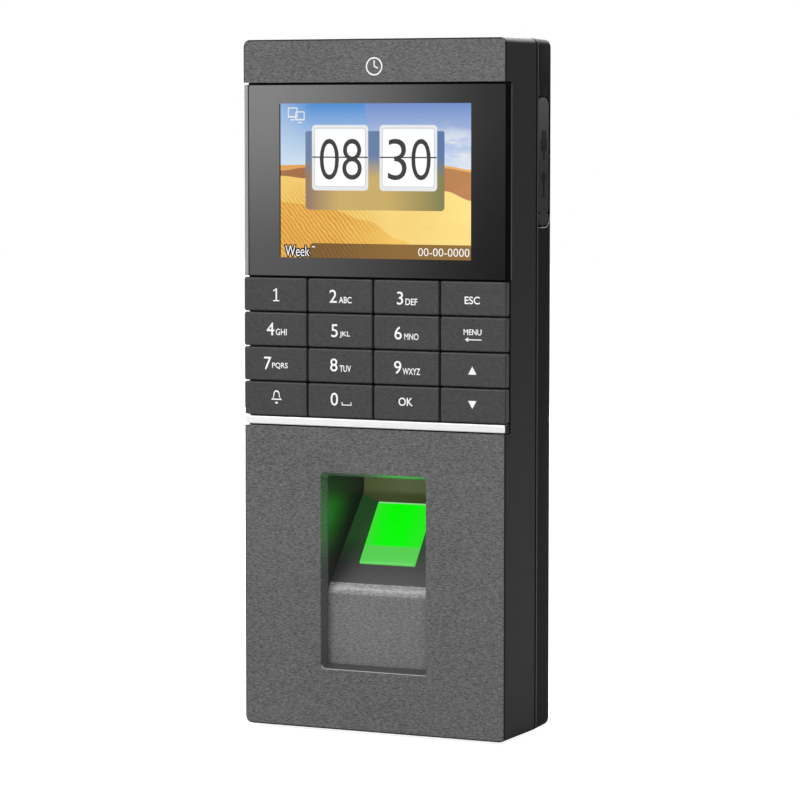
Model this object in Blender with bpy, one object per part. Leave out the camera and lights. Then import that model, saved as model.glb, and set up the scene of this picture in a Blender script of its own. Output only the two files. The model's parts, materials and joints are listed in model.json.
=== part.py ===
"""Wall-mounted fingerprint time terminal, modelled as the assembly it is.

Row frame: origin at the centre of the wall plate's back face, +X to the right as seen
from the front, +Y into the wall, +Z up. Most sizes below are given the way a designer
would read them off a drawing: depth behind the front face, and height above the base.
"""

import math

import bmesh
import bpy
from mathutils import Matrix, Vector

MM = 0.001
GAP = 0.3 * MM  # air between pieces that touch on the real object

# ---------------------------------------------------------------- driving sizes
WIDTH = 80 * MM
HEIGHT = 193 * MM
DEPTH = 34 * MM
DRAFT = 0.2 * MM  # each side narrows by this from the seam to the front face
CORNER = 1.8 * MM
WALL = 2.2 * MM
SEAM = 22.2 * MM  # depth where the front casing ends
REAR_START = SEAM + GAP
REAR_FACE = DEPTH - GAP  # the casing stands just clear of the wall
REAR_WALL = 2.0 * MM

# The stepped middle of the front casing, which carries the window, keys and trim.
LEDGE = 3.5 * MM  # depth of the step
LEDGE_THICK = 2.0 * MM
STEP_LOW, STEP_HIGH = 85.1 * MM, 180.9 * MM

WINDOW_LOW, WINDOW_HIGH = 126.95 * MM, 180.5 * MM
WINDOW_THICK = 3.2 * MM
WINDOW_HALF = 39.6 * MM

TRIM_LOW, TRIM_HIGH = 85.45 * MM, 87.65 * MM
TRIM_PIN_X = 27.0 * MM

# Keys: four rows of four.
KEY_TOP = 126.65 * MM
KEY_PITCH_Z = 9.75 * MM
KEY_TALL = 9.4 * MM
KEY_PITCH_X = 20.15 * MM
KEY_GAP_X = 0.4 * MM
KEYPAD_HALF = 39.8 * MM
KEY_THICK = 2.7 * MM
PLUNGER_WIDE, PLUNGER_TALL = 10 * MM, 4 * MM
PLUNGER_END = 4.4 * MM
KEY_NAMES = (
    ("key_1", "key_2", "key_3", "key_esc"),
    ("key_4", "key_5", "key_6", "key_menu"),
    ("key_7", "key_8", "key_9", "key_up"),
    ("key_bell", "key_0", "key_ok", "key_down"),
)

# Display module, 2.8 inch class.
LCD_CENTRE = 153.7 * MM
LCD_WIDE, LCD_TALL, LCD_THICK = 69.2 * MM, 50.2 * MM, 3.3 * MM
LCD_RIM = 1.4 * MM

# Boards.
MAT_FRONT, MAT_BACK = 5.8 * MM, 6.8 * MM
MAT_BOSS_FRONT = 5.15 * MM
KEYPAD_BOARD_FRONT, KEYPAD_BOARD_BACK = 7.1 * MM, 8.7 * MM
KEYPAD_POST_X, KEYPAD_POST_Z = KEY_PITCH_X, 107.325 * MM
MAIN_BOARD_FRONT, MAIN_BOARD_BACK = 22.0 * MM, 23.6 * MM
MAIN_BOARD_HALF = 35.4 * MM
MAIN_BOARD_LOW, MAIN_BOARD_HIGH = 90 * MM, 181.5 * MM
# (x, height) of the posts, in millimetres
BOARD_POSTS = ((-33, 94), (33, 94), (-33, 174), (33, 133))

# Finger recess. The ramp leans back by RAMP_LEAN from the vertical.
OPENING_HALF = 16.1 * MM
OPENING_LOW, OPENING_HIGH = 17.3 * MM, 72.5 * MM
OPENING_SIDE_TAPER, OPENING_END_TAPER = 0.65 * MM, 1.05 * MM
RIM_DEPTH = 3.2 * MM
GUIDE_FRONT = RIM_DEPTH + GAP
GUIDE_WALL = 1.8 * MM
GUIDE_BACK = 24.4 * MM
GUIDE_HALF_FRONT, GUIDE_HALF_BACK = 15.4 * MM, 14.0 * MM
GUIDE_CEILING = 71.4 * MM
RAMP_LEAN = math.radians(39.6)
GLASS_FOOT = (9.2 * MM, 46.4 * MM)  # (depth, height) of the glass's lower edge
GLASS_WIDE, GLASS_LONG = 16.9 * MM, 20.7 * MM
GLASS_PROUD = 0.2 * MM
LENS_DEPTH = 18 * MM  # depth of the camera lens under the glass
CHIN_RADIUS = 6.0 * MM
CORNER_RADIUS = 2.5 * MM  # where the ramp runs into the back wall
GUIDE_SCREW_X, GUIDE_SCREW_Z = 21.5 * MM, 29 * MM

# Rear fittings.
PLATE_THICK = 1.2 * MM
PLATE_HALF = 28 * MM
PLATE_LOW, PLATE_HIGH = 44.5 * MM, 148.5 * MM
POCKET_FLOOR = 32.4 * MM
POCKET_SKIN = 2.2 * MM
LIFT = 6.0 * MM  # how far the terminal lifts to come off its hooks
HOOK_X, HOOK_HALF, HOOK_TOP = 18 * MM, 5 * MM, 140 * MM
TONGUE_TOP = 144.5 * MM
HOOK_FRONT = 28.2 * MM
TAB_HALF = 6 * MM
TAB_LOW = 1.6 * MM
TAB_FRONT = 26 * MM
LOCK_DEPTH = 29.3 * MM
POCKET_LOW = PLATE_LOW - LIFT - 0.5 * MM
POCKET_HIGH = PLATE_HIGH + 0.4 * MM
WALL_HOLE_X, WALL_HOLE_Z, WALL_HOLE_RADIUS = 20 * MM, 30 * MM, 2.3 * MM
# (x, height) of the screw posts, in millimetres
CASE_POSTS = ((-33.5, 7.5), (33.5, 7.5), (-33.5, 186.5), (33.5, 186.5))

# Port bay on the right side, and the rubber cover that closes it.
BAY_LOW, BAY_HIGH, BAY_NOTCH = 140.8 * MM, 177.1 * MM, 180.0 * MM
BAY_BACK = 31.7 * MM
BAY_FLOOR = 37.8 * MM
COVER_LOW, COVER_HIGH = 141.1 * MM, 176.8 * MM
COVER_FRONT, COVER_BACK = 23.1 * MM, 31.1 * MM
COVER_THICK = 1.8 * MM
COVER_RADIUS = 2.8 * MM
COVER_INNER = BAY_FLOOR + GAP
USB_CENTRE = (27.3 * MM, 164.4 * MM)  # (depth, height)
USB_WIDE, USB_THICK = 14.0 * MM, 6.4 * MM
SERVICE_CENTRE = (25.6 * MM, 151.5 * MM)
SERVICE_WIDE, SERVICE_THICK = 8.0 * MM, 3.0 * MM
SOCKET_MOUTH = 37.4 * MM
STRAP_TOP = 144.6 * MM
HINGE_HEIGHT = 144.8 * MM
PEG_CENTRE = (27.1 * MM, 143.0 * MM)
JACK_X, JACK_DEPTH = 22 * MM, 27 * MM
SPEAKER_X, SPEAKER_Z, SPEAKER_RADIUS = -16 * MM, 165.5 * MM, 14 * MM
GRILLE_RADIUS, GRILLE_PITCH, GRILLE_SLOT = 10 * MM, 2.8 * MM, 1.4 * MM

# ---------------------------------------------------------------- materials
MATERIALS = {
    "textured_grey": ((0.115, 0.115, 0.118), 0.55, 0.0),
    "black_plastic": ((0.022, 0.022, 0.023), 0.45, 0.0),
    "smoked_lens": ((0.03, 0.03, 0.032), 0.08, 0.0),
    "key_grey": ((0.06, 0.06, 0.062), 0.5, 0.0),
    "chrome": ((0.86, 0.87, 0.88), 0.12, 1.0),
    "guide_grey": ((0.13, 0.13, 0.13), 0.6, 0.0),
    "sensor_glass": ((0.05, 0.9, 0.08), 0.1, 0.0),
    "rubber": ((0.02, 0.02, 0.021), 0.75, 0.0),
    "silicone": ((0.35, 0.36, 0.37), 0.7, 0.0),
    "circuit_board": ((0.01, 0.16, 0.07), 0.45, 0.0),
    "display_glass": ((0.03, 0.04, 0.06), 0.15, 0.0),
    "zinc_steel": ((0.55, 0.56, 0.58), 0.35, 1.0),
    "dark_steel": ((0.12, 0.12, 0.13), 0.4, 1.0),
    "ribbon": ((0.75, 0.74, 0.7), 0.5, 0.0),
}


def material(name):
    """The named Principled material, made once."""
    found = bpy.data.materials.get(name)
    if found:
        return found
    colour, roughness, metallic = MATERIALS[name]
    made = bpy.data.materials.new(name)
    made.use_nodes = True
    shader = made.node_tree.nodes["Principled BSDF"]
    shader.inputs["Base Color"].default_value = (*colour, 1)
    shader.inputs["Roughness"].default_value = roughness
    shader.inputs["Metallic"].default_value = metallic
    return made


# ---------------------------------------------------------------- shape helpers
def deep(depth):
    """Row Y of a depth behind the front face."""
    return depth - DEPTH


def high(height):
    """Row Z of a height above the base."""
    return height - HEIGHT / 2


def solid(name, rings):
    """Object skinned over rings of points, each ring having the same number of points."""
    bm = bmesh.new()
    loops = [[bm.verts.new(point) for point in ring] for ring in rings]
    count = len(loops[0])
    for low, up in zip(loops, loops[1:]):
        for i in range(count):
            j = (i + 1) % count
            bm.faces.new((low[i], low[j], up[j], up[i]))
    bm.faces.new(loops[0])
    bm.faces.new(loops[-1])
    bmesh.ops.recalc_face_normals(bm, faces=bm.faces)
    mesh = bpy.data.meshes.new(name)
    bm.to_mesh(mesh)
    bm.free()
    made = bpy.data.objects.new(name, mesh)
    bpy.context.scene.collection.objects.link(made)
    return made


def rounded(half_x, low, up, radius, steps=4, centre_x=0.0):
    """Round-cornered rectangle as (x, height) or (depth, height) pairs, from low to up."""
    corners = (
        (centre_x + half_x - radius, up - radius, 0),
        (centre_x - half_x + radius, up - radius, 90),
        (centre_x - half_x + radius, low + radius, 180),
        (centre_x + half_x - radius, low + radius, 270),
    )
    points = []
    for x, z, start in corners:
        for i in range(steps + 1):
            turn = math.radians(start + 90 * i / steps)
            points.append((x + radius * math.cos(turn), z + radius * math.sin(turn)))
    return points


def circle(x, z, radius, sides=20):
    """Circle as (x, height) pairs."""
    turns = [2 * math.pi * i / sides for i in range(sides)]
    return [(x + radius * math.cos(t), z + radius * math.sin(t)) for t in turns]


def stack(name, sections):
    """Solid through (outline, depth) sections, front to back."""
    return solid(name, [[(x, deep(d), high(z)) for x, z in outline] for outline, d in sections])


def block(name, x, depth, height):
    """Box from (low, high) pairs of x, depth and height."""
    outline = [(x[1], height[1]), (x[0], height[1]), (x[0], height[0]), (x[1], height[0])]
    return stack(name, [(outline, depth[0]), (outline, depth[1])])


def rod(name, x, z, radius, depths, sides=20):
    """Cylinder along the depth direction."""
    return stack(name, [(circle(x, z, radius, sides), d) for d in depths])


def turned(name, x, z, profile, sides=20):
    """Solid of revolution along the depth direction, from (radius, depth) pairs."""
    return stack(name, [(circle(x, z, radius, sides), d) for radius, d in profile])


def upright(name, x, depth, profile, sides=20):
    """Solid of revolution along Z, from (radius, height) pairs."""
    rings = [
        [(px, deep(depth) + py, high(z)) for px, py in circle(x, 0, radius, sides)]
        for radius, z in profile
    ]
    return solid(name, rings)


def prism(name, profile, half_of, centre_x=0.0):
    """Solid with a (depth, height) profile and a half width of half_of(depth)."""
    rings = [
        [(centre_x + side * half_of(d), deep(d), high(z)) for d, z in profile]
        for side in (-1, 1)
    ]
    return solid(name, rings)


def sideways(name, sections):
    """Solid through (outline, x) sections, the outlines being (depth, height) pairs."""
    return solid(name, [[(x, deep(d), high(z)) for d, z in outline] for outline, x in sections])


def side_block(name, x, centre, size):
    """Box by its x range, and its (depth, height) centre and full size."""
    half_d, half_z = size[0] / 2, size[1] / 2
    depths = (centre[0] - half_d, centre[0] + half_d)
    return block(name, x, depths, (centre[1] - half_z, centre[1] + half_z))


def combine(target, tools, operation):
    """Applies a Boolean of each tool to the target, and removes the tools."""
    for tool in tools:
        modifier = target.modifiers.new("tool", "BOOLEAN")
        modifier.operation = operation
        modifier.object = tool
        graph = bpy.context.evaluated_depsgraph_get()
        mesh = bpy.data.meshes.new_from_object(target.evaluated_get(graph))
        target.modifiers.clear()
        target.data = mesh
        bpy.data.objects.remove(tool)
    return target


def cut(target, *tools):
    return combine(target, tools, "DIFFERENCE")


def join(target, *tools):
    return combine(target, tools, "UNION")


def finish(target, material_name, smooth=30):
    """Gives the piece its material, and smooths its round faces."""
    target.data.materials.clear()
    target.data.materials.append(material(material_name))
    target.data.shade_smooth()
    target.data.set_sharp_from_angle(angle=math.radians(smooth))
    return target


def screw(name, x, z, head_face, end, head_radius, head_tall, shank_radius):
    """Cross-head screw along the depth direction, from the face of its head to its tip."""
    way = 1 if end > head_face else -1
    neck = head_face + way * head_tall
    made = turned(
        name,
        x,
        z,
        (
            (shank_radius * 0.5, end),
            (shank_radius, end - way * shank_radius * 0.6),
            (shank_radius, neck),
            (head_radius, neck),
            (head_radius, head_face + way * head_tall * 0.35),
            (head_radius * 0.7, head_face),
        ),
        sides=14,
    )
    arm, slot = head_radius * 0.55, head_radius * 0.14
    depths = sorted((head_face + way * head_tall * 0.5, head_face - way * MM))
    cross = join(
        block("cross", (x - arm, x + arm), depths, (z - slot, z + slot)),
        block("cross_bar", (x - slot, x + slot), depths, (z - arm, z + arm)),
    )
    return finish(cut(made, cross), "dark_steel")


# ---------------------------------------------------------------- front casing
def key_span(row, column):
    """((x low, x high), (height low, height high)) of a keycap."""
    edges = [-KEYPAD_HALF] + [KEY_PITCH_X * i for i in (-1, 0, 1)] + [KEYPAD_HALF]
    x_low = edges[column] + (KEY_GAP_X / 2 if column else 0)
    x_high = edges[column + 1] - (KEY_GAP_X / 2 if column < 3 else 0)
    z_high = KEY_TOP - row * KEY_PITCH_Z
    return (x_low, x_high), (z_high - KEY_TALL, z_high)


def key_centre(row, column):
    (x_low, x_high), (z_low, z_high) = key_span(row, column)
    return (x_low + x_high) / 2, (z_low + z_high) / 2


def casing_outline(depth, inset=0.0):
    """Front casing outline at a depth, pulled in by inset."""
    shrink = DRAFT * (1 - depth / SEAM) + inset
    return rounded(WIDTH / 2 - shrink, shrink, HEIGHT - shrink, CORNER)


def opening_outline(depth):
    """The finger opening in the front casing, which narrows with depth."""
    share = depth / RIM_DEPTH
    side, end = OPENING_SIDE_TAPER * share, OPENING_END_TAPER * share
    return rounded(OPENING_HALF - side, OPENING_LOW + end, OPENING_HIGH - end, 1.0 * MM, 3)


def front_housing():
    edge = 0.4 * MM
    shell = stack(
        "front_housing",
        [
            (casing_outline(0, edge), 0),
            (casing_outline(0, edge * 0.3), edge * 0.3),
            (casing_outline(0), edge),
            (casing_outline(SEAM), SEAM),
        ],
    )
    inner = WIDTH / 2 - WALL
    floor = LEDGE + LEDGE_THICK
    over = SEAM + MM
    cut(
        shell,
        block("step", (-WIDTH, WIDTH), (-MM, LEDGE), (STEP_LOW, STEP_HIGH)),
        block("middle", (-inner, inner), (floor, over), (STEP_LOW - 2.2 * MM, STEP_HIGH + 2.2 * MM)),
        block("lower", (-inner, inner), (WALL, over), (WALL, STEP_LOW - 2.1 * MM)),
        block("upper", (-inner, inner), (WALL, over), (STEP_HIGH + 2.1 * MM, HEIGHT - WALL)),
    )
    rim = block(
        "rim",
        (-OPENING_HALF - 2.5 * MM, OPENING_HALF + 2.5 * MM),
        (WALL - 0.5 * MM, RIM_DEPTH),
        (OPENING_LOW - 2.0 * MM, OPENING_HIGH + 2.0 * MM),
    )
    posts = [rod("post", x * MM, z * MM, 3.2 * MM, (WALL - MM, SEAM), 16) for x, z in CASE_POSTS]
    keypad_posts = [
        rod("post", side * KEYPAD_POST_X, KEYPAD_POST_Z, 2.2 * MM, (floor - MM, MAT_BACK), 14)
        for side in (-1, 1)
    ]
    guide_posts = [
        rod("post", side * GUIDE_SCREW_X, GUIDE_SCREW_Z, 2.4 * MM, (WALL - MM, RIM_DEPTH), 14)
        for side in (-1, 1)
    ]
    join(shell, rim, *posts, *keypad_posts, *guide_posts)

    opening = stack(
        "opening",
        [(opening_outline(-RIM_DEPTH), -RIM_DEPTH), (opening_outline(RIM_DEPTH * 2), RIM_DEPTH * 2)],
    )
    lcd = block(
        "lcd_hole",
        (-LCD_WIDE / 2 - GAP, LCD_WIDE / 2 + GAP),
        (0, floor + MM),
        (LCD_CENTRE - LCD_TALL / 2 - GAP, LCD_CENTRE + LCD_TALL / 2 + GAP),
    )
    holes = []
    for row in range(4):
        for column in range(4):
            x, z = key_centre(row, column)
            wide, tall = PLUNGER_WIDE / 2 + GAP, PLUNGER_TALL / 2 + GAP
            holes.append(block("hole", (x - wide, x + wide), (0, floor + MM), (z - tall, z + tall)))
    trim_z = (TRIM_LOW + TRIM_HIGH) / 2
    holes += [rod("hole", side * TRIM_PIN_X, trim_z, 1.2 * MM, (0, floor + MM), 12) for side in (-1, 1)]
    holes += [rod("hole", x * MM, z * MM, 1.5 * MM, (8 * MM, SEAM + MM), 12) for x, z in CASE_POSTS]
    holes += [
        rod("hole", side * KEYPAD_POST_X, KEYPAD_POST_Z, 1.1 * MM, (4.4 * MM, 9 * MM), 10)
        for side in (-1, 1)
    ]
    holes += [
        rod("hole", side * GUIDE_SCREW_X, GUIDE_SCREW_Z, 1.1 * MM, (1.0 * MM, 5 * MM), 10)
        for side in (-1, 1)
    ]
    cut(shell, opening, lcd, *holes)
    return finish(shell, "textured_grey")


# ---------------------------------------------------------------- finger guide and sensor
UP_RAMP = Vector((math.sin(RAMP_LEAN), math.cos(RAMP_LEAN)))  # (depth, height) direction
INTO_RAMP = Vector((math.cos(RAMP_LEAN), -math.sin(RAMP_LEAN)))


def on_ramp(along, under=0.0):
    """(depth, height) of a point along the ramp from the glass's foot, and under its surface."""
    point = Vector(GLASS_FOOT) + UP_RAMP * along + INTO_RAMP * under
    return point.x, point.y


def ramp_at_depth(depth, under=0.0):
    """Height of the line parallel to the ramp at a depth."""
    start = Vector(on_ramp(0, under))
    return start.y + (depth - start.x) / UP_RAMP.x * UP_RAMP.y


def bend(corner, incoming, outgoing, radius, steps):
    """Arc that rounds a corner between two directions, as (depth, height) points."""
    turn = incoming.angle(outgoing)
    reach = radius * math.tan(turn / 2)
    start = corner - incoming * reach
    side = Vector((-incoming.y, incoming.x))
    if side.dot(outgoing) < 0:
        side = -side
    centre = start + side * radius
    arm = start - centre
    sign = 1 if incoming.x * outgoing.y - incoming.y * outgoing.x > 0 else -1
    points = []
    for i in range(steps + 1):
        a = sign * turn * i / steps
        points.append(
            (
                centre.x + arm.x * math.cos(a) - arm.y * math.sin(a),
                centre.y + arm.x * math.sin(a) + arm.y * math.cos(a),
            )
        )
    return points


def guide_surface():
    """Chin, ramp and back wall of the recess, bottom to top, as (depth, height) points."""
    upwards = Vector((0, 1))
    chin = Vector((GUIDE_FRONT, ramp_at_depth(GUIDE_FRONT)))
    back = Vector((GUIDE_BACK, ramp_at_depth(GUIDE_BACK)))
    return bend(chin, upwards, UP_RAMP, CHIN_RADIUS, 5) + bend(back, UP_RAMP, upwards, CORNER_RADIUS, 4)


def guide_half(depth):
    """Half width of the recess at a depth."""
    share = (depth - GUIDE_FRONT) / (GUIDE_BACK - GUIDE_FRONT)
    return GUIDE_HALF_FRONT + (GUIDE_HALF_BACK - GUIDE_HALF_FRONT) * share


def finger_guide():
    flange_back = GUIDE_FRONT + 2 * MM
    flange_half = OPENING_HALF + 2.5 * MM
    flange = (OPENING_LOW - 2 * MM, OPENING_HIGH + 2 * MM)
    guide = block("finger_guide", (-flange_half, flange_half), (GUIDE_FRONT, flange_back), flange)
    outer_back = GUIDE_BACK + GUIDE_WALL
    body = prism(
        "body",
        [
            (flange_back - MM, ramp_at_depth(flange_back - MM, GUIDE_WALL)),
            (outer_back, ramp_at_depth(outer_back, GUIDE_WALL)),
            (outer_back, GUIDE_CEILING + GUIDE_WALL),
            (flange_back - MM, GUIDE_CEILING + GUIDE_WALL),
        ],
        lambda depth: guide_half(depth) + GUIDE_WALL,
    )
    ears = block(
        "ears",
        (-GUIDE_SCREW_X - 3 * MM, GUIDE_SCREW_X + 3 * MM),
        (GUIDE_FRONT + 0.1 * MM, flange_back - 0.1 * MM),
        (GUIDE_SCREW_Z - 4 * MM, GUIDE_SCREW_Z + 4 * MM),
    )
    join(guide, body, ears)
    surface = guide_surface()
    ahead = GUIDE_FRONT - 2 * MM
    void = prism(
        "void",
        [(ahead, surface[0][1])] + surface + [(GUIDE_BACK, GUIDE_CEILING - MM), (ahead, GUIDE_CEILING)],
        guide_half,
    )
    slot = 0.3 * MM
    window = prism(
        "window",
        [
            on_ramp(-slot, -3 * MM),
            on_ramp(GLASS_LONG + slot, -3 * MM),
            on_ramp(GLASS_LONG + slot, 4 * MM),
            on_ramp(-slot, 4 * MM),
        ],
        lambda depth: GLASS_WIDE / 2 + slot,
    )
    screws = [
        rod("hole", side * GUIDE_SCREW_X, GUIDE_SCREW_Z, 1.1 * MM, (2 * MM, 7 * MM), 10)
        for side in (-1, 1)
    ]
    cut(guide, void, window, *screws)
    return finish(guide, "guide_grey")


PRISM_DEEP = 8.0 * MM
SENSOR_TOP = GUIDE_WALL + 0.4 * MM  # the sensor body starts this far under the ramp
SENSOR_BACK = 29.0 * MM


def sensor_prism():
    taper = 3.0 * MM
    made = prism(
        "sensor_prism",
        [
            on_ramp(0, -GLASS_PROUD),
            on_ramp(GLASS_LONG, -GLASS_PROUD),
            on_ramp(GLASS_LONG, 3 * MM),
            on_ramp(GLASS_LONG - taper, PRISM_DEEP),
            on_ramp(taper, PRISM_DEEP),
            on_ramp(0, 3 * MM),
        ],
        lambda depth: GLASS_WIDE / 2,
    )
    return finish(made, "sensor_glass")


def sensor_body():
    back = SENSOR_BACK
    low = 38.2 * MM
    half = 12 * MM
    body = prism(
        "sensor_body",
        [
            on_ramp(-3 * MM, SENSOR_TOP),
            on_ramp(GLASS_LONG + 2 * MM, SENSOR_TOP),
            (back, ramp_at_depth(back, 6 * MM + SENSOR_TOP)),
            (back, low),
            (on_ramp(-3 * MM, SENSOR_TOP)[0], low),
        ],
        lambda depth: half,
    )
    pocket = prism(
        "pocket",
        [
            on_ramp(-GAP, 0),
            on_ramp(GLASS_LONG + GAP, 0),
            on_ramp(GLASS_LONG + GAP, PRISM_DEEP + GAP),
            on_ramp(-GAP, PRISM_DEEP + GAP),
        ],
        lambda depth: GLASS_WIDE / 2 + GAP,
    )
    lens = upright("lens", 0, LENS_DEPTH, ((3.0 * MM, low - MM), (3.0 * MM, low + 14 * MM)), 16)
    return finish(cut(body, pocket, lens), "black_plastic")


def sensor_board():
    """Camera board under the sensor body, with its lens barrel and plug."""
    board = block("sensor_board", (-13 * MM, 13 * MM), (8.6 * MM, SENSOR_BACK), (36.3 * MM, 37.9 * MM))
    barrel_steps = ((2.6 * MM, 37.5 * MM), (2.6 * MM, 40.8 * MM), (1.6 * MM, 41.5 * MM))  # radius, height
    barrel = upright("barrel", 0, LENS_DEPTH, barrel_steps, 16)
    plug = block("plug", (-6 * MM, 6 * MM), (12 * MM, 16 * MM), (33.9 * MM, 36.5 * MM))
    return finish(join(board, barrel, plug), "circuit_board")


# ---------------------------------------------------------------- window, trim and keys
def display_window():
    edge = 0.25 * MM

    def outline(inset):
        return rounded(WINDOW_HALF - inset, WINDOW_LOW + inset, WINDOW_HIGH - inset, 0.5 * MM, 2)

    made = stack(
        "display_window",
        [(outline(edge), 0), (outline(0), edge), (outline(0), WINDOW_THICK)],
    )
    return finish(made, "smoked_lens")


def trim_strip():
    edge = 0.2 * MM

    def outline(inset):
        return rounded(WINDOW_HALF - inset, TRIM_LOW + inset, TRIM_HIGH - inset, 0.3 * MM, 2)

    made = stack(
        "trim_strip",
        [(outline(edge), 0), (outline(0), edge), (outline(0), WINDOW_THICK)],
    )
    middle = (TRIM_LOW + TRIM_HIGH) / 2
    pins = [
        rod("pin", side * TRIM_PIN_X, middle, 0.9 * MM, (WINDOW_THICK - MM, 5.2 * MM), 12)
        for side in (-1, 1)
    ]
    return finish(join(made, *pins), "chrome")


def keycap(name, row, column):
    """Keycap with its plunger; its origin is on the line that it slides along."""
    (x_low, x_high), (z_low, z_high) = key_span(row, column)
    x, z = key_centre(row, column)
    half, tall = (x_high - x_low) / 2, (z_high - z_low) / 2
    edge = 0.45 * MM

    def outline(inset):
        return rounded(half - inset, z - tall + inset, z + tall - inset, 0.5 * MM, 2, x)

    stem = rounded(PLUNGER_WIDE / 2, z - PLUNGER_TALL / 2, z + PLUNGER_TALL / 2, 0.5 * MM, 2, x)
    made = stack(
        name,
        [
            (outline(edge), 0),
            (outline(edge * 0.3), edge * 0.3),
            (outline(0), edge),
            (outline(0), KEY_THICK),
            (stem, KEY_THICK),
            (stem, PLUNGER_END),
        ],
    )
    origin = Vector((x, deep(0), high(z)))
    made.data.transform(Matrix.Translation(-origin))
    made.location = origin
    return finish(made, "key_grey")


# ---------------------------------------------------------------- display and keypad electronics
def lcd_frame():
    x, z = LCD_WIDE / 2, LCD_TALL / 2
    frame = block(
        "lcd_frame", (-x, x), (LEDGE, LEDGE + LCD_THICK), (LCD_CENTRE - z, LCD_CENTRE + z)
    )
    tray = block(
        "tray",
        (-x + LCD_RIM, x - LCD_RIM),
        (0, LEDGE + 2.1 * MM),
        (LCD_CENTRE - z + LCD_RIM, LCD_CENTRE + z - LCD_RIM),
    )
    return finish(cut(frame, tray), "zinc_steel")


def lcd_panel():
    x, z = LCD_WIDE / 2 - LCD_RIM - GAP, LCD_TALL / 2 - LCD_RIM - GAP
    made = block(
        "lcd_panel",
        (-x, x),
        (LEDGE + 0.1 * MM, LEDGE + 1.8 * MM),
        (LCD_CENTRE - z, LCD_CENTRE + z),
    )
    return finish(made, "display_glass")


def keypad_mat():
    """Silicone mat with a raised boss behind each key."""
    mat = block("keypad_mat", (-36 * MM, 36 * MM), (MAT_FRONT, MAT_BACK), (88.4 * MM, 126.3 * MM))
    bosses = []
    for row in range(4):
        for column in range(4):
            x, z = key_centre(row, column)
            wide, tall = PLUNGER_WIDE / 2 - 0.2 * MM, PLUNGER_TALL / 2 - 0.2 * MM
            depths = (MAT_BOSS_FRONT, MAT_BACK - 0.2 * MM)
            bosses.append(block("boss", (x - wide, x + wide), depths, (z - tall, z + tall)))
    holes = [
        rod("hole", side * KEYPAD_POST_X, KEYPAD_POST_Z, 2.5 * MM, (MAT_FRONT - MM, MAT_BACK + MM), 14)
        for side in (-1, 1)
    ]
    join(mat, *bosses)
    return finish(cut(mat, *holes), "silicone")


def keypad_board():
    board = block(
        "keypad_board",
        (-37 * MM, 37 * MM),
        (KEYPAD_BOARD_FRONT, KEYPAD_BOARD_BACK),
        (86.5 * MM, 182 * MM),
    )
    socket = block(
        "socket", (-9 * MM, 9 * MM), (KEYPAD_BOARD_BACK - 0.2 * MM, 11 * MM), (128 * MM, 132.5 * MM)
    )
    holes = [
        rod("hole", side * KEYPAD_POST_X, KEYPAD_POST_Z, 1.2 * MM, (6 * MM, 12 * MM), 10)
        for side in (-1, 1)
    ]
    join(board, socket)
    return finish(cut(board, *holes), "circuit_board")


def main_board():
    board = block(
        "main_board",
        (-MAIN_BOARD_HALF, MAIN_BOARD_HALF),
        (MAIN_BOARD_FRONT, MAIN_BOARD_BACK),
        (MAIN_BOARD_LOW, MAIN_BOARD_HIGH),
    )
    front = MAIN_BOARD_FRONT + 0.2 * MM
    ribbon_socket = block("socket", (-9 * MM, 9 * MM), (19.6 * MM, front), (128 * MM, 132.5 * MM))
    sensor_socket = block("socket", (-7 * MM, 7 * MM), (19.6 * MM, front), (92 * MM, 96 * MM))
    jack_socket = block(
        "socket", (JACK_X - 3 * MM, JACK_X + 3 * MM), (19.6 * MM, front), (92 * MM, 96 * MM)
    )
    memory = block("chip", (-28 * MM, -16 * MM), (20.9 * MM, front), (100 * MM, 110 * MM))
    holes = [
        rod("hole", x * MM, z * MM, 1.5 * MM, (20 * MM, 26 * MM), 12) for x, z in BOARD_POSTS
    ]
    join(board, ribbon_socket, sensor_socket, jack_socket, memory)
    return finish(cut(board, *holes), "circuit_board")


def processor_can():
    """Screening can over the processor, on the front of the main board."""
    front = 19.0 * MM
    outline = rounded(11 * MM, 140 * MM, 162 * MM, 1.0 * MM, 3, -14 * MM)
    top = rounded(10.5 * MM, 140.5 * MM, 161.5 * MM, 1.0 * MM, 3, -14 * MM)
    made = stack(
        "processor_can",
        [(top, front), (outline, front + 0.5 * MM), (outline, MAIN_BOARD_FRONT - GAP)],
    )
    return finish(made, "zinc_steel")


def coin_cell():
    front = MAIN_BOARD_BACK + GAP
    made = turned(
        "coin_cell",
        -12 * MM,
        112 * MM,
        (
            (9.0 * MM, front),
            (9.0 * MM, front + 0.6 * MM),
            (10.0 * MM, front + 0.9 * MM),
            (10.0 * MM, front + 3.0 * MM),
            (9.6 * MM, front + 3.2 * MM),
        ),
        24,
    )
    return finish(made, "zinc_steel")


def speaker():
    made = turned(
        "speaker",
        SPEAKER_X,
        SPEAKER_Z,
        (
            (8.0 * MM, 26.4 * MM),
            (8.6 * MM, 26.8 * MM),
            (8.6 * MM, 28.6 * MM),
            (12.6 * MM, 29.4 * MM),
            (SPEAKER_RADIUS, 29.4 * MM),
            (SPEAKER_RADIUS, 31.4 * MM),
            (12.8 * MM, 31.4 * MM),
            (11.6 * MM, 30.7 * MM),
            (5.0 * MM, 30.3 * MM),
            (4.0 * MM, 30.9 * MM),
        ),
        28,
    )
    return finish(made, "black_plastic")


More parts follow.
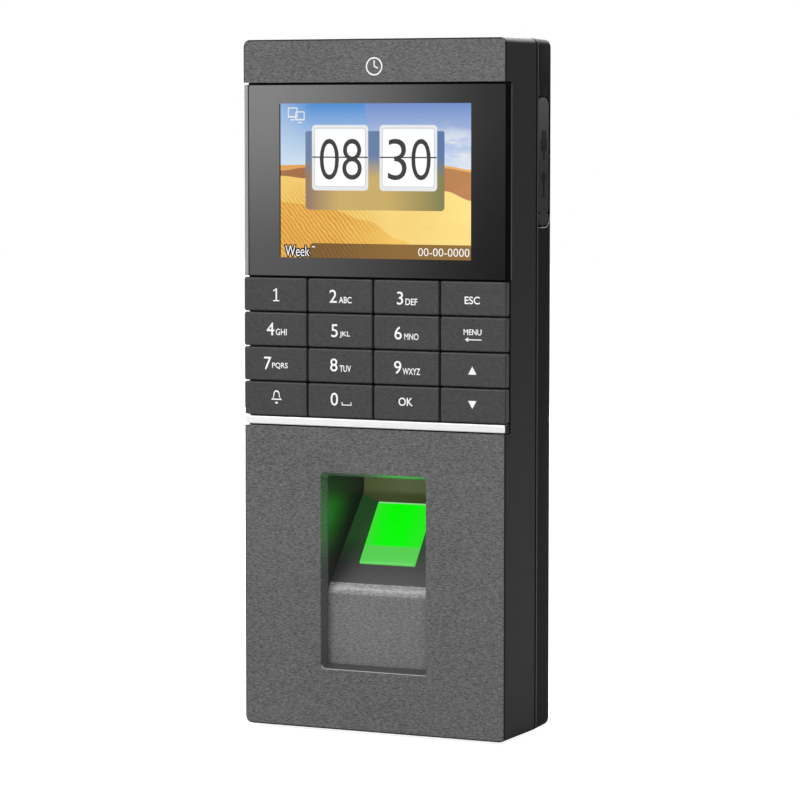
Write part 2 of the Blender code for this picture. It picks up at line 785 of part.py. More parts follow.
def flat_lead(name, corners, half_wide, thick, centre_x=0.0):
    """Flat lead that follows a smooth curve through (depth, height) corners."""
    corners = [Vector(corner) * MM for corner in corners]
    points = [corners[0]]
    for before, corner, after in zip(corners, corners[1:], corners[2:]):
        start = corner.lerp(before, 0.4)
        end = corner.lerp(after, 0.4)
        for i in range(6):
            t = i / 5
            points.append(start * (1 - t) ** 2 + corner * 2 * t * (1 - t) + end * t**2)
    points.append(corners[-1])
    front, back = [], []
    for i, point in enumerate(points):
        along = (points[min(i + 1, len(points) - 1)] - points[max(i - 1, 0)]).normalized()
        side = Vector((-along.y, along.x)) * thick / 2
        front.append(tuple(point + side))
        back.append(tuple(point - side))
    made = prism(name, front + back[::-1], lambda depth: half_wide, centre_x)
    return finish(made, "ribbon")


def leads():
    """The flat leads between the boards, and to the main board from the sensor and the jack."""
    display = ((11.3, 130.2), (13.5, 130.2), (15.4, 126), (17.3, 130.2), (19.3, 130.2))
    sensor = ((14, 33.6), (14, 29), (24, 26), (29.6, 32), (29.6, 66), (27, 80), (20.8, 84), (20.8, 91.7))
    jack = ((JACK_DEPTH / MM, 17.6), (JACK_DEPTH / MM, 60), (26, 78), (20.8, 84), (20.8, 91.7))
    flat_lead("display_ribbon", display, 8 * MM, 0.25 * MM)
    flat_lead("sensor_ribbon", sensor, 5.5 * MM, 0.25 * MM)
    flat_lead("jack_lead", jack, 1.5 * MM, 1.0 * MM, JACK_X)


# ---------------------------------------------------------------- rear casing
def rear_outline(inset):
    return rounded(WIDTH / 2 - inset, inset, HEIGHT - inset, CORNER)


def bay_cutter():
    """Pocket in the right side for the port cover, open towards the seam."""
    ahead = REAR_START - 8 * MM
    outline = rounded((BAY_BACK - ahead) / 2, BAY_LOW, BAY_HIGH, 3.4 * MM, 4, (BAY_BACK + ahead) / 2)
    return sideways("bay", [(outline, BAY_FLOOR), (outline, WIDTH)])


def side_cutters():
    """What is cut from the right side: the cover's bay, its nail notch, and the ports."""
    through = (BAY_FLOOR - 4 * MM, WIDTH)
    notch_size = (13 * MM, 8 * MM)
    slack = 2 * GAP
    return [
        bay_cutter(),
        side_block("notch", (BAY_FLOOR + 0.5 * MM, WIDTH), (22.5 * MM, BAY_NOTCH - 4 * MM), notch_size),
        side_block("usb_hole", through, USB_CENTRE, (USB_THICK + slack, USB_WIDE + slack)),
        side_block(
            "service_hole", through, SERVICE_CENTRE, (SERVICE_THICK + slack, SERVICE_WIDE + slack)
        ),
        side_block("peg_hole", through, PEG_CENTRE, (3.0 * MM, 2.6 * MM)),
    ]


def back_cutters():
    """What is cut from the back: the wall plate's room, the hook slots, screw holes and grille."""
    plate_half = PLATE_HALF + 0.4 * MM
    tab_half = TAB_HALF + 0.5 * MM
    beyond = DEPTH + MM
    tab_room = TAB_LOW + PLATE_THICK + GAP
    cutters = [
        block("pocket", (-plate_half, plate_half), (POCKET_FLOOR, beyond), (POCKET_LOW, POCKET_HIGH)),
        block("channel", (-tab_half, tab_half), (POCKET_FLOOR, beyond), (-MM, POCKET_LOW + MM)),
        block("tab_room", (-tab_half, tab_half), (TAB_FRONT - 0.4 * MM, beyond), (-MM, tab_room)),
        upright("lock_hole", 0, LOCK_DEPTH, ((1.5 * MM, 0), (1.5 * MM, 12 * MM)), 12),
        upright("jack_hole", JACK_X, JACK_DEPTH, ((3.9 * MM, -MM), (3.9 * MM, 4 * MM)), 20),
    ]
    for side in (-1, 1):
        x, wide = side * HOOK_X, HOOK_HALF + 0.6 * MM
        low = HOOK_TOP - PLATE_THICK - LIFT - 0.5 * MM
        cutters.append(block("slot", (x - wide, x + wide), (28 * MM, beyond), (low, HOOK_TOP + GAP)))
    for x, z in CASE_POSTS:
        cutters.append(rod("counterbore", x * MM, z * MM, 3.0 * MM, (30 * MM, beyond), 18))
        cutters.append(rod("screw_hole", x * MM, z * MM, 1.5 * MM, (REAR_START - MM, 31 * MM), 12))
    for x, z in BOARD_POSTS:
        cutters.append(rod("screw_hole", x * MM, z * MM, 1.2 * MM, (22 * MM, 30 * MM), 10))
    for i in range(-3, 4):
        middle = SPEAKER_Z + i * GRILLE_PITCH
        reach = math.sqrt(GRILLE_RADIUS**2 - (i * GRILLE_PITCH) ** 2)
        half = GRILLE_SLOT / 2
        outline = rounded(reach, middle - half, middle + half, half * 0.95, 2, SPEAKER_X)
        cutters.append(stack("grille", [(outline, 30 * MM), (outline, beyond)]))
    return cutters


def rear_housing():
    edge = 2.0 * MM
    lean = 0.15 * MM
    sections = [(rear_outline(0), REAR_START), (rear_outline(lean), REAR_FACE - edge)]
    for turn in (30, 60, 90):
        a = math.radians(turn)
        inset = lean + edge * (1 - math.cos(a))
        sections.append((rear_outline(inset), REAR_FACE - edge * (1 - math.sin(a))))
    shell = stack("rear_housing", sections)
    inner = WIDTH / 2 - WALL
    front = REAR_START - MM
    back = REAR_FACE - REAR_WALL
    pocket_back = POCKET_FLOOR - POCKET_SKIN
    cut(
        shell,
        block("cavity", (-inner, inner), (front, pocket_back), (WALL, HEIGHT - WALL)),
        block("low", (-inner, inner), (front, back), (WALL, POCKET_LOW - POCKET_SKIN)),
        block("top", (-inner, inner), (front, back), (POCKET_HIGH + POCKET_SKIN, HEIGHT - WALL)),
    )
    rib = TAB_HALF + 2.5 * MM
    solids = [
        block("channel_skin", (-rib, rib), (pocket_back, back + MM), (MM, POCKET_LOW)),
        block("tab_block", (-rib, rib), (TAB_FRONT - 2 * MM, back + MM), (MM, 8 * MM)),
        block(
            "bay_wall",
            (BAY_FLOOR - 1.8 * MM, WIDTH / 2 - MM),
            (REAR_START, BAY_BACK + 0.5 * MM),
            (BAY_LOW - 2 * MM, BAY_NOTCH + 2 * MM),
        ),
    ]
    for x, z in CASE_POSTS:
        solids.append(rod("post", x * MM, z * MM, 4.5 * MM, (REAR_START, back + MM), 18))
    for x, z in BOARD_POSTS:
        start = MAIN_BOARD_BACK + GAP
        solids.append(rod("post", x * MM, z * MM, 2.6 * MM, (start, back + 0.2 * MM), 14))
    join(shell, *solids)
    cut(shell, *back_cutters(), *side_cutters())
    return finish(shell, "black_plastic")


# ---------------------------------------------------------------- wall plate
def wall_plate():
    """Steel plate with two up-turned hooks, and a strip down to the locking tab."""
    front = DEPTH - PLATE_THICK
    outline = rounded(PLATE_HALF, PLATE_LOW, PLATE_HIGH, 3 * MM, 4)
    plate = stack("wall_plate", [(outline, front), (outline, DEPTH)])
    overlap = 2 * MM
    strip = block("strip", (-TAB_HALF, TAB_HALF), (front, DEPTH), (TAB_LOW, PLATE_LOW + overlap))
    tab_top = TAB_LOW + PLATE_THICK
    tab = block("tab", (-TAB_HALF, TAB_HALF), (TAB_FRONT, DEPTH), (TAB_LOW, tab_top))
    hooks = []
    for side in (-1, 1):
        x = (side * HOOK_X - HOOK_HALF, side * HOOK_X + HOOK_HALF)
        hooks.append(block("leaf", x, (HOOK_FRONT, DEPTH), (HOOK_TOP - PLATE_THICK, HOOK_TOP)))
        hooks.append(
            block("tongue", x, (HOOK_FRONT, HOOK_FRONT + PLATE_THICK), (HOOK_TOP - MM, TONGUE_TOP))
        )
    join(plate, strip, tab, *hooks)
    holes = [upright("hole", 0, LOCK_DEPTH, ((1.9 * MM, 0), (1.9 * MM, 4 * MM)), 14)]
    for side in (-1, 1):
        for end in (-1, 1):
            x, z = side * WALL_HOLE_X, HEIGHT / 2 + end * WALL_HOLE_Z
            holes.append(rod("hole", x, z, WALL_HOLE_RADIUS, (front - MM, DEPTH + MM), 20))
    cut(plate, *holes)
    return finish(plate, "zinc_steel")


def lock_screw():
    """Screw that goes up through the tab into the casing."""
    head_radius = 2.8 * MM
    low = 0.2 * MM
    neck = TAB_LOW - GAP
    made = upright(
        "lock_screw",
        0,
        LOCK_DEPTH,
        (
            (head_radius * 0.8, low),
            (head_radius, low + 0.4 * MM),
            (head_radius, neck),
            (1.2 * MM, neck),
            (1.2 * MM, 7.4 * MM),
            (0.7 * MM, 7.9 * MM),
        ),
        18,
    )
    arm, slot = 1.5 * MM, 0.35 * MM
    depth = (LOCK_DEPTH - slot, LOCK_DEPTH + slot)
    cross = block("cross", (-arm, arm), depth, (-MM, low + 0.7 * MM))
    across = (LOCK_DEPTH - arm, LOCK_DEPTH + arm)
    join(cross, block("cross_bar", (-slot, slot), across, (-MM, low + 0.7 * MM)))
    return finish(cut(made, cross), "dark_steel")


# ---------------------------------------------------------------- ports
def usb_socket():
    """Full-size host socket, its mouth facing right and its wide side upright."""
    wall = 0.6 * MM
    back = SOCKET_MOUTH - 14 * MM
    tongue_end = SOCKET_MOUTH - 4.4 * MM
    shell = side_block("usb_socket", (back, SOCKET_MOUTH), USB_CENTRE, (USB_THICK, USB_WIDE))
    size = (USB_THICK - 2 * wall, USB_WIDE - 2 * wall)
    mouth = side_block("mouth", (back + 1.5 * MM, WIDTH), USB_CENTRE, size)
    tongue_centre = (USB_CENTRE[0] - 0.6 * MM, USB_CENTRE[1])
    tongue = side_block("tongue", (back + MM, tongue_end), tongue_centre, (1.9 * MM, 11.1 * MM))
    return finish(join(cut(shell, mouth), tongue), "zinc_steel")


def service_socket():
    """Small service port under the host socket."""
    back = SOCKET_MOUTH - 5.6 * MM
    outline = rounded(
        SERVICE_THICK / 2,
        SERVICE_CENTRE[1] - SERVICE_WIDE / 2,
        SERVICE_CENTRE[1] + SERVICE_WIDE / 2,
        0.9 * MM,
        3,
        SERVICE_CENTRE[0],
    )
    shell = sideways("service_socket", [(outline, back), (outline, SOCKET_MOUTH)])
    wall = 0.35 * MM
    size = (SERVICE_THICK - 2 * wall, SERVICE_WIDE - 3 * wall)
    mouth = side_block("mouth", (back + MM, WIDTH), SERVICE_CENTRE, size)
    tongue_end = SOCKET_MOUTH - 0.8 * MM
    tongue = side_block("tongue", (back + 0.5 * MM, tongue_end), SERVICE_CENTRE, (0.6 * MM, 5 * MM))
    return finish(join(cut(shell, mouth), tongue), "zinc_steel")


def power_jack():
    """Barrel jack whose mouth looks down through the bottom of the casing."""
    body = block(
        "power_jack",
        (JACK_X - 4.5 * MM, JACK_X + 4.5 * MM),
        (JACK_DEPTH - 4.4 * MM, JACK_DEPTH + 4.4 * MM),
        (2.5 * MM, 17 * MM),
    )
    collar = upright("collar", JACK_X, JACK_DEPTH, ((3.6 * MM, 0.3 * MM), (3.6 * MM, 3.5 * MM)), 20)
    bore = upright("bore", JACK_X, JACK_DEPTH, ((3.15 * MM, -MM), (3.15 * MM, 12.5 * MM)), 20)
    pin = upright(
        "pin",
        JACK_X,
        JACK_DEPTH,
        ((0.5 * MM, 5.2 * MM), (1.0 * MM, 5.7 * MM), (1.0 * MM, 13 * MM)),
        12,
    )
    join(body, collar)
    cut(body, bore)
    return finish(join(body, pin), "black_plastic")


def cover_outline(low, up, round_low, round_up, inset=0.0):
    """Part of the cover's outline as (depth, height) pairs; each end is round or square."""
    front, back = COVER_FRONT + inset, COVER_BACK - inset
    low, up = low + inset, up - inset
    corners = (
        (back, up, 0, round_up),
        (front, up, 90, round_up),
        (front, low, 180, round_low),
        (back, low, 270, round_low),
    )
    points = []
    for depth, z, start, is_round in corners:
        if not is_round:
            points.append((depth, z))
            continue
        radius = COVER_RADIUS - inset
        middle_depth = depth - radius if depth == back else depth + radius
        middle_z = z - radius if z == up else z + radius
        for i in range(5):
            turn = math.radians(start + 90 * i / 4)
            points.append((middle_depth + radius * math.cos(turn), middle_z + radius * math.sin(turn)))
    return points


def usb_cover():
    """Swinging part of the rubber cover; its origin is on the hinge line."""
    edge = 0.35 * MM
    face = COVER_INNER + COVER_THICK
    full = cover_outline(HINGE_HEIGHT + 0.2 * MM, COVER_HIGH, False, True)
    small = cover_outline(HINGE_HEIGHT + 0.2 * MM, COVER_HIGH, False, True, edge)
    cover = sideways("usb_cover", [(full, COVER_INNER), (full, face - edge), (small, face)])
    origin = Vector((face, deep((COVER_FRONT + COVER_BACK) / 2), high(HINGE_HEIGHT)))
    cover.data.transform(Matrix.Translation(-origin))
    cover.location = origin
    return finish(cover, "rubber")


def cover_strap():
    """Lower end of the rubber cover, held by a peg through the casing."""
    edge = 0.35 * MM
    face = COVER_INNER + COVER_THICK
    full = cover_outline(COVER_LOW, STRAP_TOP, True, False)
    small = cover_outline(COVER_LOW, STRAP_TOP, True, False, edge)
    strap = sideways("cover_strap", [(full, COVER_INNER), (full, face - edge), (small, face)])
    neck = side_block("neck", (35.4 * MM, COVER_INNER + 0.2 * MM), PEG_CENTRE, (2.4 * MM, 2.0 * MM))
    barb = side_block("barb", (34.8 * MM, 35.6 * MM), PEG_CENTRE, (4.2 * MM, 3.4 * MM))
    return finish(join(strap, neck, barb), "rubber")


# ---------------------------------------------------------------- assembly
def fasteners():
    for i, (x, z) in enumerate(CASE_POSTS, 1):
        screw(f"case_screw_{i}", x * MM, z * MM, 32.3 * MM, 12 * MM, 2.6 * MM, 2.0 * MM, 1.2 * MM)
    for i, (x, z) in enumerate(BOARD_POSTS, 1):
        screw(f"board_screw_{i}", x * MM, z * MM, 20.3 * MM, 28.5 * MM, 2.2 * MM, 1.4 * MM, 0.9 * MM)
    for i, side in enumerate((-1, 1), 1):
        x = side * GUIDE_SCREW_X
        screw(f"guide_screw_{i}", x, GUIDE_SCREW_Z, 7.1 * MM, 1.4 * MM, 1.8 * MM, 1.3 * MM, 0.8 * MM)
        x = side * KEYPAD_POST_X
        screw(f"keypad_screw_{i}", x, KEYPAD_POST_Z, 10.3 * MM, 4.8 * MM, 1.9 * MM, 1.3 * MM, 0.8 * MM)


def build():
    for old in list(bpy.data.objects):
        bpy.data.objects.remove(old)
    front_housing()
    finger_guide()
    sensor_prism()
    sensor_body()
    sensor_board()
    display_window()
    trim_strip()
    for row, names in enumerate(KEY_NAMES):
        for column, name in enumerate(names):
            keycap(name, row, column)
    lcd_frame()
    lcd_panel()
    keypad_mat()
    keypad_board()
    main_board()
    processor_can()
    coin_cell()
    speaker()
    leads()
    rear_housing()
    wall_plate()
    lock_screw()
    usb_socket()
    service_socket()
    power_jack()
    usb_cover()
    cover_strap()
    fasteners()


build()
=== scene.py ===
"""Looks of the fingerprint terminal: finer surfaces, printed marks, the lit display and sensor.

Lengths are metres in the row frame: X to the right, Y into the wall, Z up.
"""

import json
import math

import bmesh
import bpy
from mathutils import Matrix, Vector

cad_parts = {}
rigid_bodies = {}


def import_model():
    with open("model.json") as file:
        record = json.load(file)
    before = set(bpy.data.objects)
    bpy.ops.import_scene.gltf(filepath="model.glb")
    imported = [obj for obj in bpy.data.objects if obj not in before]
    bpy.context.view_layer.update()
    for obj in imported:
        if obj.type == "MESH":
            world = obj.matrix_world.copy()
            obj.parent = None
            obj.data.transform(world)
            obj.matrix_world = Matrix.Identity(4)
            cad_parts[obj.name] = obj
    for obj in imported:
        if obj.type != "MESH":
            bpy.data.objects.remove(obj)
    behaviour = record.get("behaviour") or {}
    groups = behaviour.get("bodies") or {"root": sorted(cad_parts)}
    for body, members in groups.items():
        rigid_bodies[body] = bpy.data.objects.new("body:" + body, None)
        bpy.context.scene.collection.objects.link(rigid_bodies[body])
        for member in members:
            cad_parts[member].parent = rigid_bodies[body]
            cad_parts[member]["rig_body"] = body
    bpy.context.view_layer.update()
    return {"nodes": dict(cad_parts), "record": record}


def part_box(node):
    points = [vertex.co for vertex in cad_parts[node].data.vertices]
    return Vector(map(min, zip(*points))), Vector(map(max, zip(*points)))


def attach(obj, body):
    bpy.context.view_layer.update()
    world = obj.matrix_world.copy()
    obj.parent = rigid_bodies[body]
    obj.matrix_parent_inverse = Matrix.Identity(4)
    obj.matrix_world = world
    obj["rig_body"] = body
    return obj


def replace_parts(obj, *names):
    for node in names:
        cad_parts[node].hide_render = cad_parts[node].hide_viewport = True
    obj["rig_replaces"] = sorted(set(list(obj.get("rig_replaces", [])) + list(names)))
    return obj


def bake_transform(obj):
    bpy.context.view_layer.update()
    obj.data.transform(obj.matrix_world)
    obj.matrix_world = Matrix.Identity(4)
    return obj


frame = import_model()

MM = 0.001
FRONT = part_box("front_housing")[0].y  # front plane of the terminal
NODES = frame["nodes"]
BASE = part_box("front_housing")[0].z  # lower end of the terminal

# sizes in millimetres; depths run from the front plane, heights from the lower end
HALF_WIDE, TALL, CORNER = 40, 193, 1.8
SEAM_DEPTH = 22.2
RIGHT_INSET = 39.92  # just inside the right side, where the recess for window and keys ends
OPENING_HALF, OPENING_LOW, OPENING_TOP = 16.2, 17, 72.8
MARK_PROUD = 0.02  # how far a printed mark stands off its surface


def deep(depth):
    """Y of a depth, in millimetres, behind the front plane."""
    return FRONT + depth * MM


def high(height):
    """Z of a height, in millimetres, above the lower end."""
    return BASE + height * MM


def spot(x, height):
    return x * MM, high(height)


# ---------------------------------------------------------------- materials
class Shader:
    """Small builder for one Principled material."""

    def __init__(self, name, colour, roughness, metallic=0.0, **sockets):
        self.material = bpy.data.materials.new(name)
        self.material.use_nodes = True
        self.tree = self.material.node_tree
        self.principled = self.tree.nodes["Principled BSDF"]
        self.set("Base Color", (*colour, 1))
        self.set("Roughness", roughness)
        self.set("Metallic", metallic)
        for socket, value in sockets.items():
            self.set(socket.replace("_", " "), value)
        self.place = self.tree.nodes.new("ShaderNodeTexCoord").outputs["Object"]

    def set(self, socket, value):
        self.principled.inputs[socket].default_value = value

    def link(self, output, socket):
        self.tree.links.new(output, socket)

    def node(self, kind, links=(), **values):
        """A node of that kind; values are properties, or inputs given by their index or name."""
        made = self.tree.nodes.new("ShaderNode" + kind)
        for key, value in values.items():
            if hasattr(made, key):
                setattr(made, key, value)
            else:
                made.inputs[key.replace("_", " ")].default_value = value
        for socket, output in dict(links).items():
            self.link(output, made.inputs[socket])
        return made

    def scaled(self, scale):
        """Object coordinates, in millimetres, stretched by a scale."""
        scale = [s * 1000 for s in scale]
        return self.node("Mapping", {"Vector": self.place}, Scale=scale).outputs["Vector"]

    def noise(self, scale, detail=2.0, rough=0.5):
        """Noise whose features are 1 / scale millimetres long along each axis."""
        vector = {"Vector": self.scaled(scale)}
        return self.node("TexNoise", vector, Scale=1.0, Detail=detail, Roughness=rough).outputs["Fac"]

    def remap(self, value, low, high, to_low=0.0, to_high=1.0):
        made = self.node("MapRange", {"Value": value})
        for i, number in enumerate((low, high, to_low, to_high), 1):
            made.inputs[i].default_value = number
        return made.outputs["Result"]

    def maths(self, operation, first, second):
        made = self.node("Math", operation=operation)
        for i, operand in enumerate((first, second)):
            if isinstance(operand, (int, float)):
                made.inputs[i].default_value = operand
            else:
                self.link(operand, made.inputs[i])
        return made.outputs["Value"]

    def mix(self, share, first, second):
        """Colour mix; first and second are colours or outputs."""
        made = self.node("Mix", data_type="RGBA")
        if isinstance(share, (int, float)):
            made.inputs["Factor"].default_value = share
        else:
            self.link(share, made.inputs["Factor"])
        for index, colour in ((6, first), (7, second)):
            if isinstance(colour, tuple):
                made.inputs[index].default_value = (*colour, 1)
            else:
                self.link(colour, made.inputs[index])
        return made.outputs[2]

    def colour_by(self, share, first, second):
        self.link(self.mix(share, first, second), self.principled.inputs["Base Color"])

    def roughness_by(self, share, low, high):
        self.link(self.remap(share, 0, 1, low, high), self.principled.inputs["Roughness"])

    def bump(self, height, distance, strength=1.0):
        made = self.node("Bump", {"Height": height}, Strength=strength, Distance=distance)
        self.link(made.outputs["Normal"], self.principled.inputs["Normal"])


def shade(colour, factor):
    return tuple(c * factor for c in colour)


def woven_plastic(name, colour, contrast, depth, roughness=0.5, stretch=1.0):
    """Moulded plastic with the fine horizontal weave of the front."""
    s = Shader(name, colour, roughness)
    threads = s.noise((0.9 / stretch, 2.2, 3.4), 3.0, 0.6)
    grains = s.noise((3.4, 3.4, 3.8), 2.0, 0.6)
    cloud = s.noise((0.05, 0.05, 0.05), 2.0)
    texture = s.maths("ADD", s.maths("MULTIPLY", threads, 0.6), s.maths("MULTIPLY", grains, 0.4))
    share = s.remap(texture, 0.36, 0.64)
    tone = s.maths("ADD", s.maths("MULTIPLY", share, 0.85), s.maths("MULTIPLY", cloud, 0.15))
    s.colour_by(tone, shade(colour, 1 - contrast), shade(colour, 1 + contrast))
    s.roughness_by(share, roughness - 0.07, roughness + 0.07)
    s.bump(texture, depth)
    return s.material


def moulded(name, colour, roughness=0.5, grain=1.6, depth=0.00002, contrast=0.12, **sockets):
    """Moulded plastic or rubber with a spark-eroded grain."""
    s = Shader(name, colour, roughness, **sockets)
    grains = s.noise((grain,) * 3, 4.0, 0.6)
    cloud = s.noise((0.04,) * 3, 2.0)
    share = s.maths("ADD", s.maths("MULTIPLY", grains, 0.6), s.maths("MULTIPLY", cloud, 0.4))
    s.colour_by(share, shade(colour, 1 - contrast), shade(colour, 1 + contrast))
    s.roughness_by(grains, roughness - 0.06, roughness + 0.08)
    s.bump(grains, depth)
    return s.material


def metal(name, colour, roughness, stretch=(0.05, 2.0, 2.0), contrast=0.08, metallic=1.0):
    """Rolled or plated metal with fine lines along one axis; a dull coating lowers metallic."""
    s = Shader(name, colour, roughness, metallic)
    lines = s.noise(stretch, 3.0, 0.6)
    cloud = s.noise((0.06,) * 3, 3.0)
    share = s.maths("ADD", s.maths("MULTIPLY", lines, 0.5), s.maths("MULTIPLY", cloud, 0.5))
    s.colour_by(share, shade(colour, 1 - contrast), colour)
    s.roughness_by(share, roughness * 0.8, roughness * 1.4)
    s.bump(lines, 0.000004)
    return s.material


def satin_silver(name):
    """Silver paint under a clear coat."""
    s = Shader(name, (0.9, 0.9, 0.9), 0.3, 0.25, Coat_Weight=0.5)
    flake = s.noise((0.2, 3.0, 3.0), 2.0)
    s.colour_by(flake, (0.86, 0.86, 0.86), (0.95, 0.95, 0.95))
    s.roughness_by(flake, 0.24, 0.36)
    return s.material


def rubber(name):
    """Matte rubber, paler towards its upper end: a painted highlight where the light from above falls."""
    s = Shader(name, (0.02, 0.02, 0.02), 0.6, Specular_IOR_Level=0.3)
    split = s.node("SeparateXYZ", {"Vector": s.place})
    # painted highlight: the rubber turns paler towards its upper end
    lit_upper_end = s.remap(split.outputs["Z"], high(158), high(176))
    grains = s.noise((2.6, 2.6, 2.6), 3.0)
    share = s.maths("ADD", s.maths("MULTIPLY", lit_upper_end, 0.85), s.maths("MULTIPLY", grains, 0.15))
    s.colour_by(share, (0.016, 0.016, 0.016), (0.1, 0.1, 0.1))
    s.roughness_by(grains, 0.54, 0.7)
    s.bump(grains, 0.00002)
    return s.material


def printed(name, colour):
    """Screen-printed ink, slightly uneven."""
    s = Shader(name, colour, 0.55)
    ink = s.noise((6, 6, 6), 2.0)
    s.colour_by(ink, shade(colour, 0.9), colour)
    s.roughness_by(ink, 0.45, 0.65)
    return s.material


def circuit(name):
    """Solder mask over copper tracks."""
    s = Shader(name, (0.01, 0.11, 0.05), 0.35, Coat_Weight=0.3)
    cells = s.node(
        "TexVoronoi",
        {"Vector": s.scaled((0.22, 0.22, 0.22))},
        Scale=1.0,
        Randomness=0.35,
        distance="CHEBYCHEV",
    )
    rings = s.maths("FRACT", s.maths("MULTIPLY", cells.outputs["Distance"], 5.0), 0.0)
    tracks = s.remap(rings, 0.68, 0.74)
    s.colour_by(tracks, (0.008, 0.09, 0.04), (0.02, 0.2, 0.08))
    s.roughness_by(tracks, 0.3, 0.5)
    s.bump(tracks, 0.00004)
    return s.material


def ribbon_film(name):
    """Film with pale conductors along its length."""
    s = Shader(name, (0.7, 0.69, 0.64), 0.4)
    split = s.node("SeparateXYZ", {"Vector": s.scaled((1, 1, 1))})
    wave = s.maths("FRACT", split.outputs["X"], 0.0)
    lines = s.remap(s.maths("ABSOLUTE", s.maths("SUBTRACT", wave, 0.5), 0.0), 0.2, 0.28)
    s.colour_by(lines, (0.42, 0.4, 0.34), (0.75, 0.74, 0.7))
    s.roughness_by(lines, 0.3, 0.5)
    return s.material


def clear_lens(name):
    """Smoked pane with faint waviness; its low IOR keeps reflections off the display."""
    s = Shader(name, (0.8, 0.81, 0.83), 0.03, Transmission_Weight=1.0, IOR=1.01)
    haze = s.noise((0.05, 0.05, 0.05), 2.0)
    s.colour_by(haze, (0.76, 0.77, 0.79), (0.84, 0.85, 0.87))
    s.roughness_by(haze, 0.02, 0.045)
    return s.material


def glowing(name, build, strength=1.0, base=(0.003, 0.003, 0.003), roughness=0.8, specular=0.0):
    """Lit surface; build(shader) returns the emission colour output."""
    s = Shader(name, base, roughness, Specular_IOR_Level=specular)
    s.link(build(s), s.principled.inputs["Emission Color"])
    s.set("Emission Strength", strength)
    return s.material


def lit_ramp(name):
    """Plastic darkened as painted shade of the recess, with a painted green glow that rises towards the
    glass set into it.
    """
    s = Shader(name, (0.03, 0.03, 0.029), 0.4)
    split = s.node("SeparateXYZ", {"Vector": s.place})
    share = s.remap(split.outputs["Z"], high(45.5), high(54))
    grains = s.noise((3.0, 3.0, 3.0), 3.0)
    s.colour_by(grains, (0.018, 0.018, 0.018), (0.04, 0.04, 0.04))
    s.roughness_by(grains, 0.36, 0.48)
    s.link(s.mix(share, (0.0, 0.0, 0.0), (0.009, 0.05, 0.01)), s.principled.inputs["Emission Color"])
    s.set("Emission Strength", 1.0)
    return s.material


def srgb(red, green, blue):
    """Linear colour from screen values of 0 to 255."""
    def linear(value):
        value = value / 255
        return value / 12.92 if value <= 0.04045 else ((value + 0.055) / 1.055) ** 2.4

    return linear(red), linear(green), linear(blue)


GREY = (0.104, 0.104, 0.104)
KEY_GREY = (0.038, 0.038, 0.038)
BLACK = (0.012, 0.012, 0.0125)

MATERIALS = {
    "casing_grey": woven_plastic("casing_grey", GREY, 0.8, 0.00006, 0.55),
    "casing_black": moulded(
        "casing_black", shade(BLACK, 0.72), 0.44, 2.2, 0.00001, Specular_IOR_Level=0.18
    ),
    "smoked_lens": clear_lens("smoked_lens"),
    "chrome_trim": satin_silver("chrome_trim"),
    "rear_black": moulded(
        "rear_black", shade(BLACK, 0.35), 0.5, 2.2, 0.00001, Specular_IOR_Level=0.06
    ),
    # pale grey for thin lines that are painted highlights on edges
    "edge_highlight": moulded("edge_highlight", (0.42, 0.42, 0.42), 0.3, 3.0, 0.000004),
    "guide_grey": woven_plastic("guide_grey", (0.155, 0.155, 0.155), 0.65, 0.00004, 0.4),
    # lighter copy of the guide finish for the bend: a painted highlight
    "guide_bend_highlight": woven_plastic("guide_bend_highlight", (0.235, 0.235, 0.235), 0.6, 0.00004, 0.34),
    # ramp: a darker copy of the guide finish, painted shade of the recess
    "guide_ramp_shade_and_glow": lit_ramp("guide_ramp_shade_and_glow"),
    "reveal_grey": moulded("reveal_grey", (0.045, 0.045, 0.045), 0.5),
    # recess walls: a darker copy of the guide finish, painted shade of the recess
    "guide_recess_shade": moulded("guide_recess_shade", (0.035, 0.035, 0.034), 0.4, 3.0, 0.00003, 0.4),
    "notch_grey": moulded("notch_grey", (0.045, 0.045, 0.045), 0.6),
    # back wall of the recess: its olive base colour is painted green light from the sensor
    "guide_back_green_light": moulded("guide_back_green_light", (0.25, 0.28, 0.11), 0.35, 3.0, 0.00003, 0.3),
    # near-black: painted shade for the seam and the gap round the cover; also the window's own black sides
    "black_edge_and_gap_shade": moulded(
        "black_edge_and_gap_shade", (0.002, 0.002, 0.002), 0.8, 2.0, 0.00001, Specular_IOR_Level=0.05
    ),
    "mark_black": moulded(
        "mark_black", (0.009, 0.009, 0.009), 0.7, 2.0, 0.00001, Specular_IOR_Level=0.2
    ),
    "black_gloss": moulded("black_gloss", (0.003, 0.003, 0.0034), 0.035, 0.1, 0.0),
    "black_plastic": moulded("black_plastic", (0.022, 0.022, 0.023), 0.5),
    "circuit_board": circuit("circuit_board"),
    "sheet_steel": metal("sheet_steel", (0.2, 0.205, 0.215), 0.55, (0.08, 0.6, 1.6), 0.2, 0.3),
    "silicone": moulded("silicone", (0.35, 0.36, 0.37), 0.7),
    "flat_lead": ribbon_film("flat_lead"),
    "fastener": metal("fastener", (0.16, 0.16, 0.17), 0.34, (1.2, 1.2, 1.2), 0.25),
    "cover_rubber": rubber("cover_rubber"),
    "key_grey": woven_plastic("key_grey", KEY_GREY, 0.55, 0.00003, 0.5),
    "white_ink": printed("white_ink", (0.98, 0.98, 0.98)),
    # grey for thin lines that are painted highlights at the seam and the recess edge
    "thin_highlight": moulded("thin_highlight", (0.075, 0.075, 0.075), 0.5, 2.0, 0.00001),
    "window_edge_painted_light": moulded("window_edge_painted_light", (0.3, 0.31, 0.32), 0.5, 1.0, 0.00001),
}


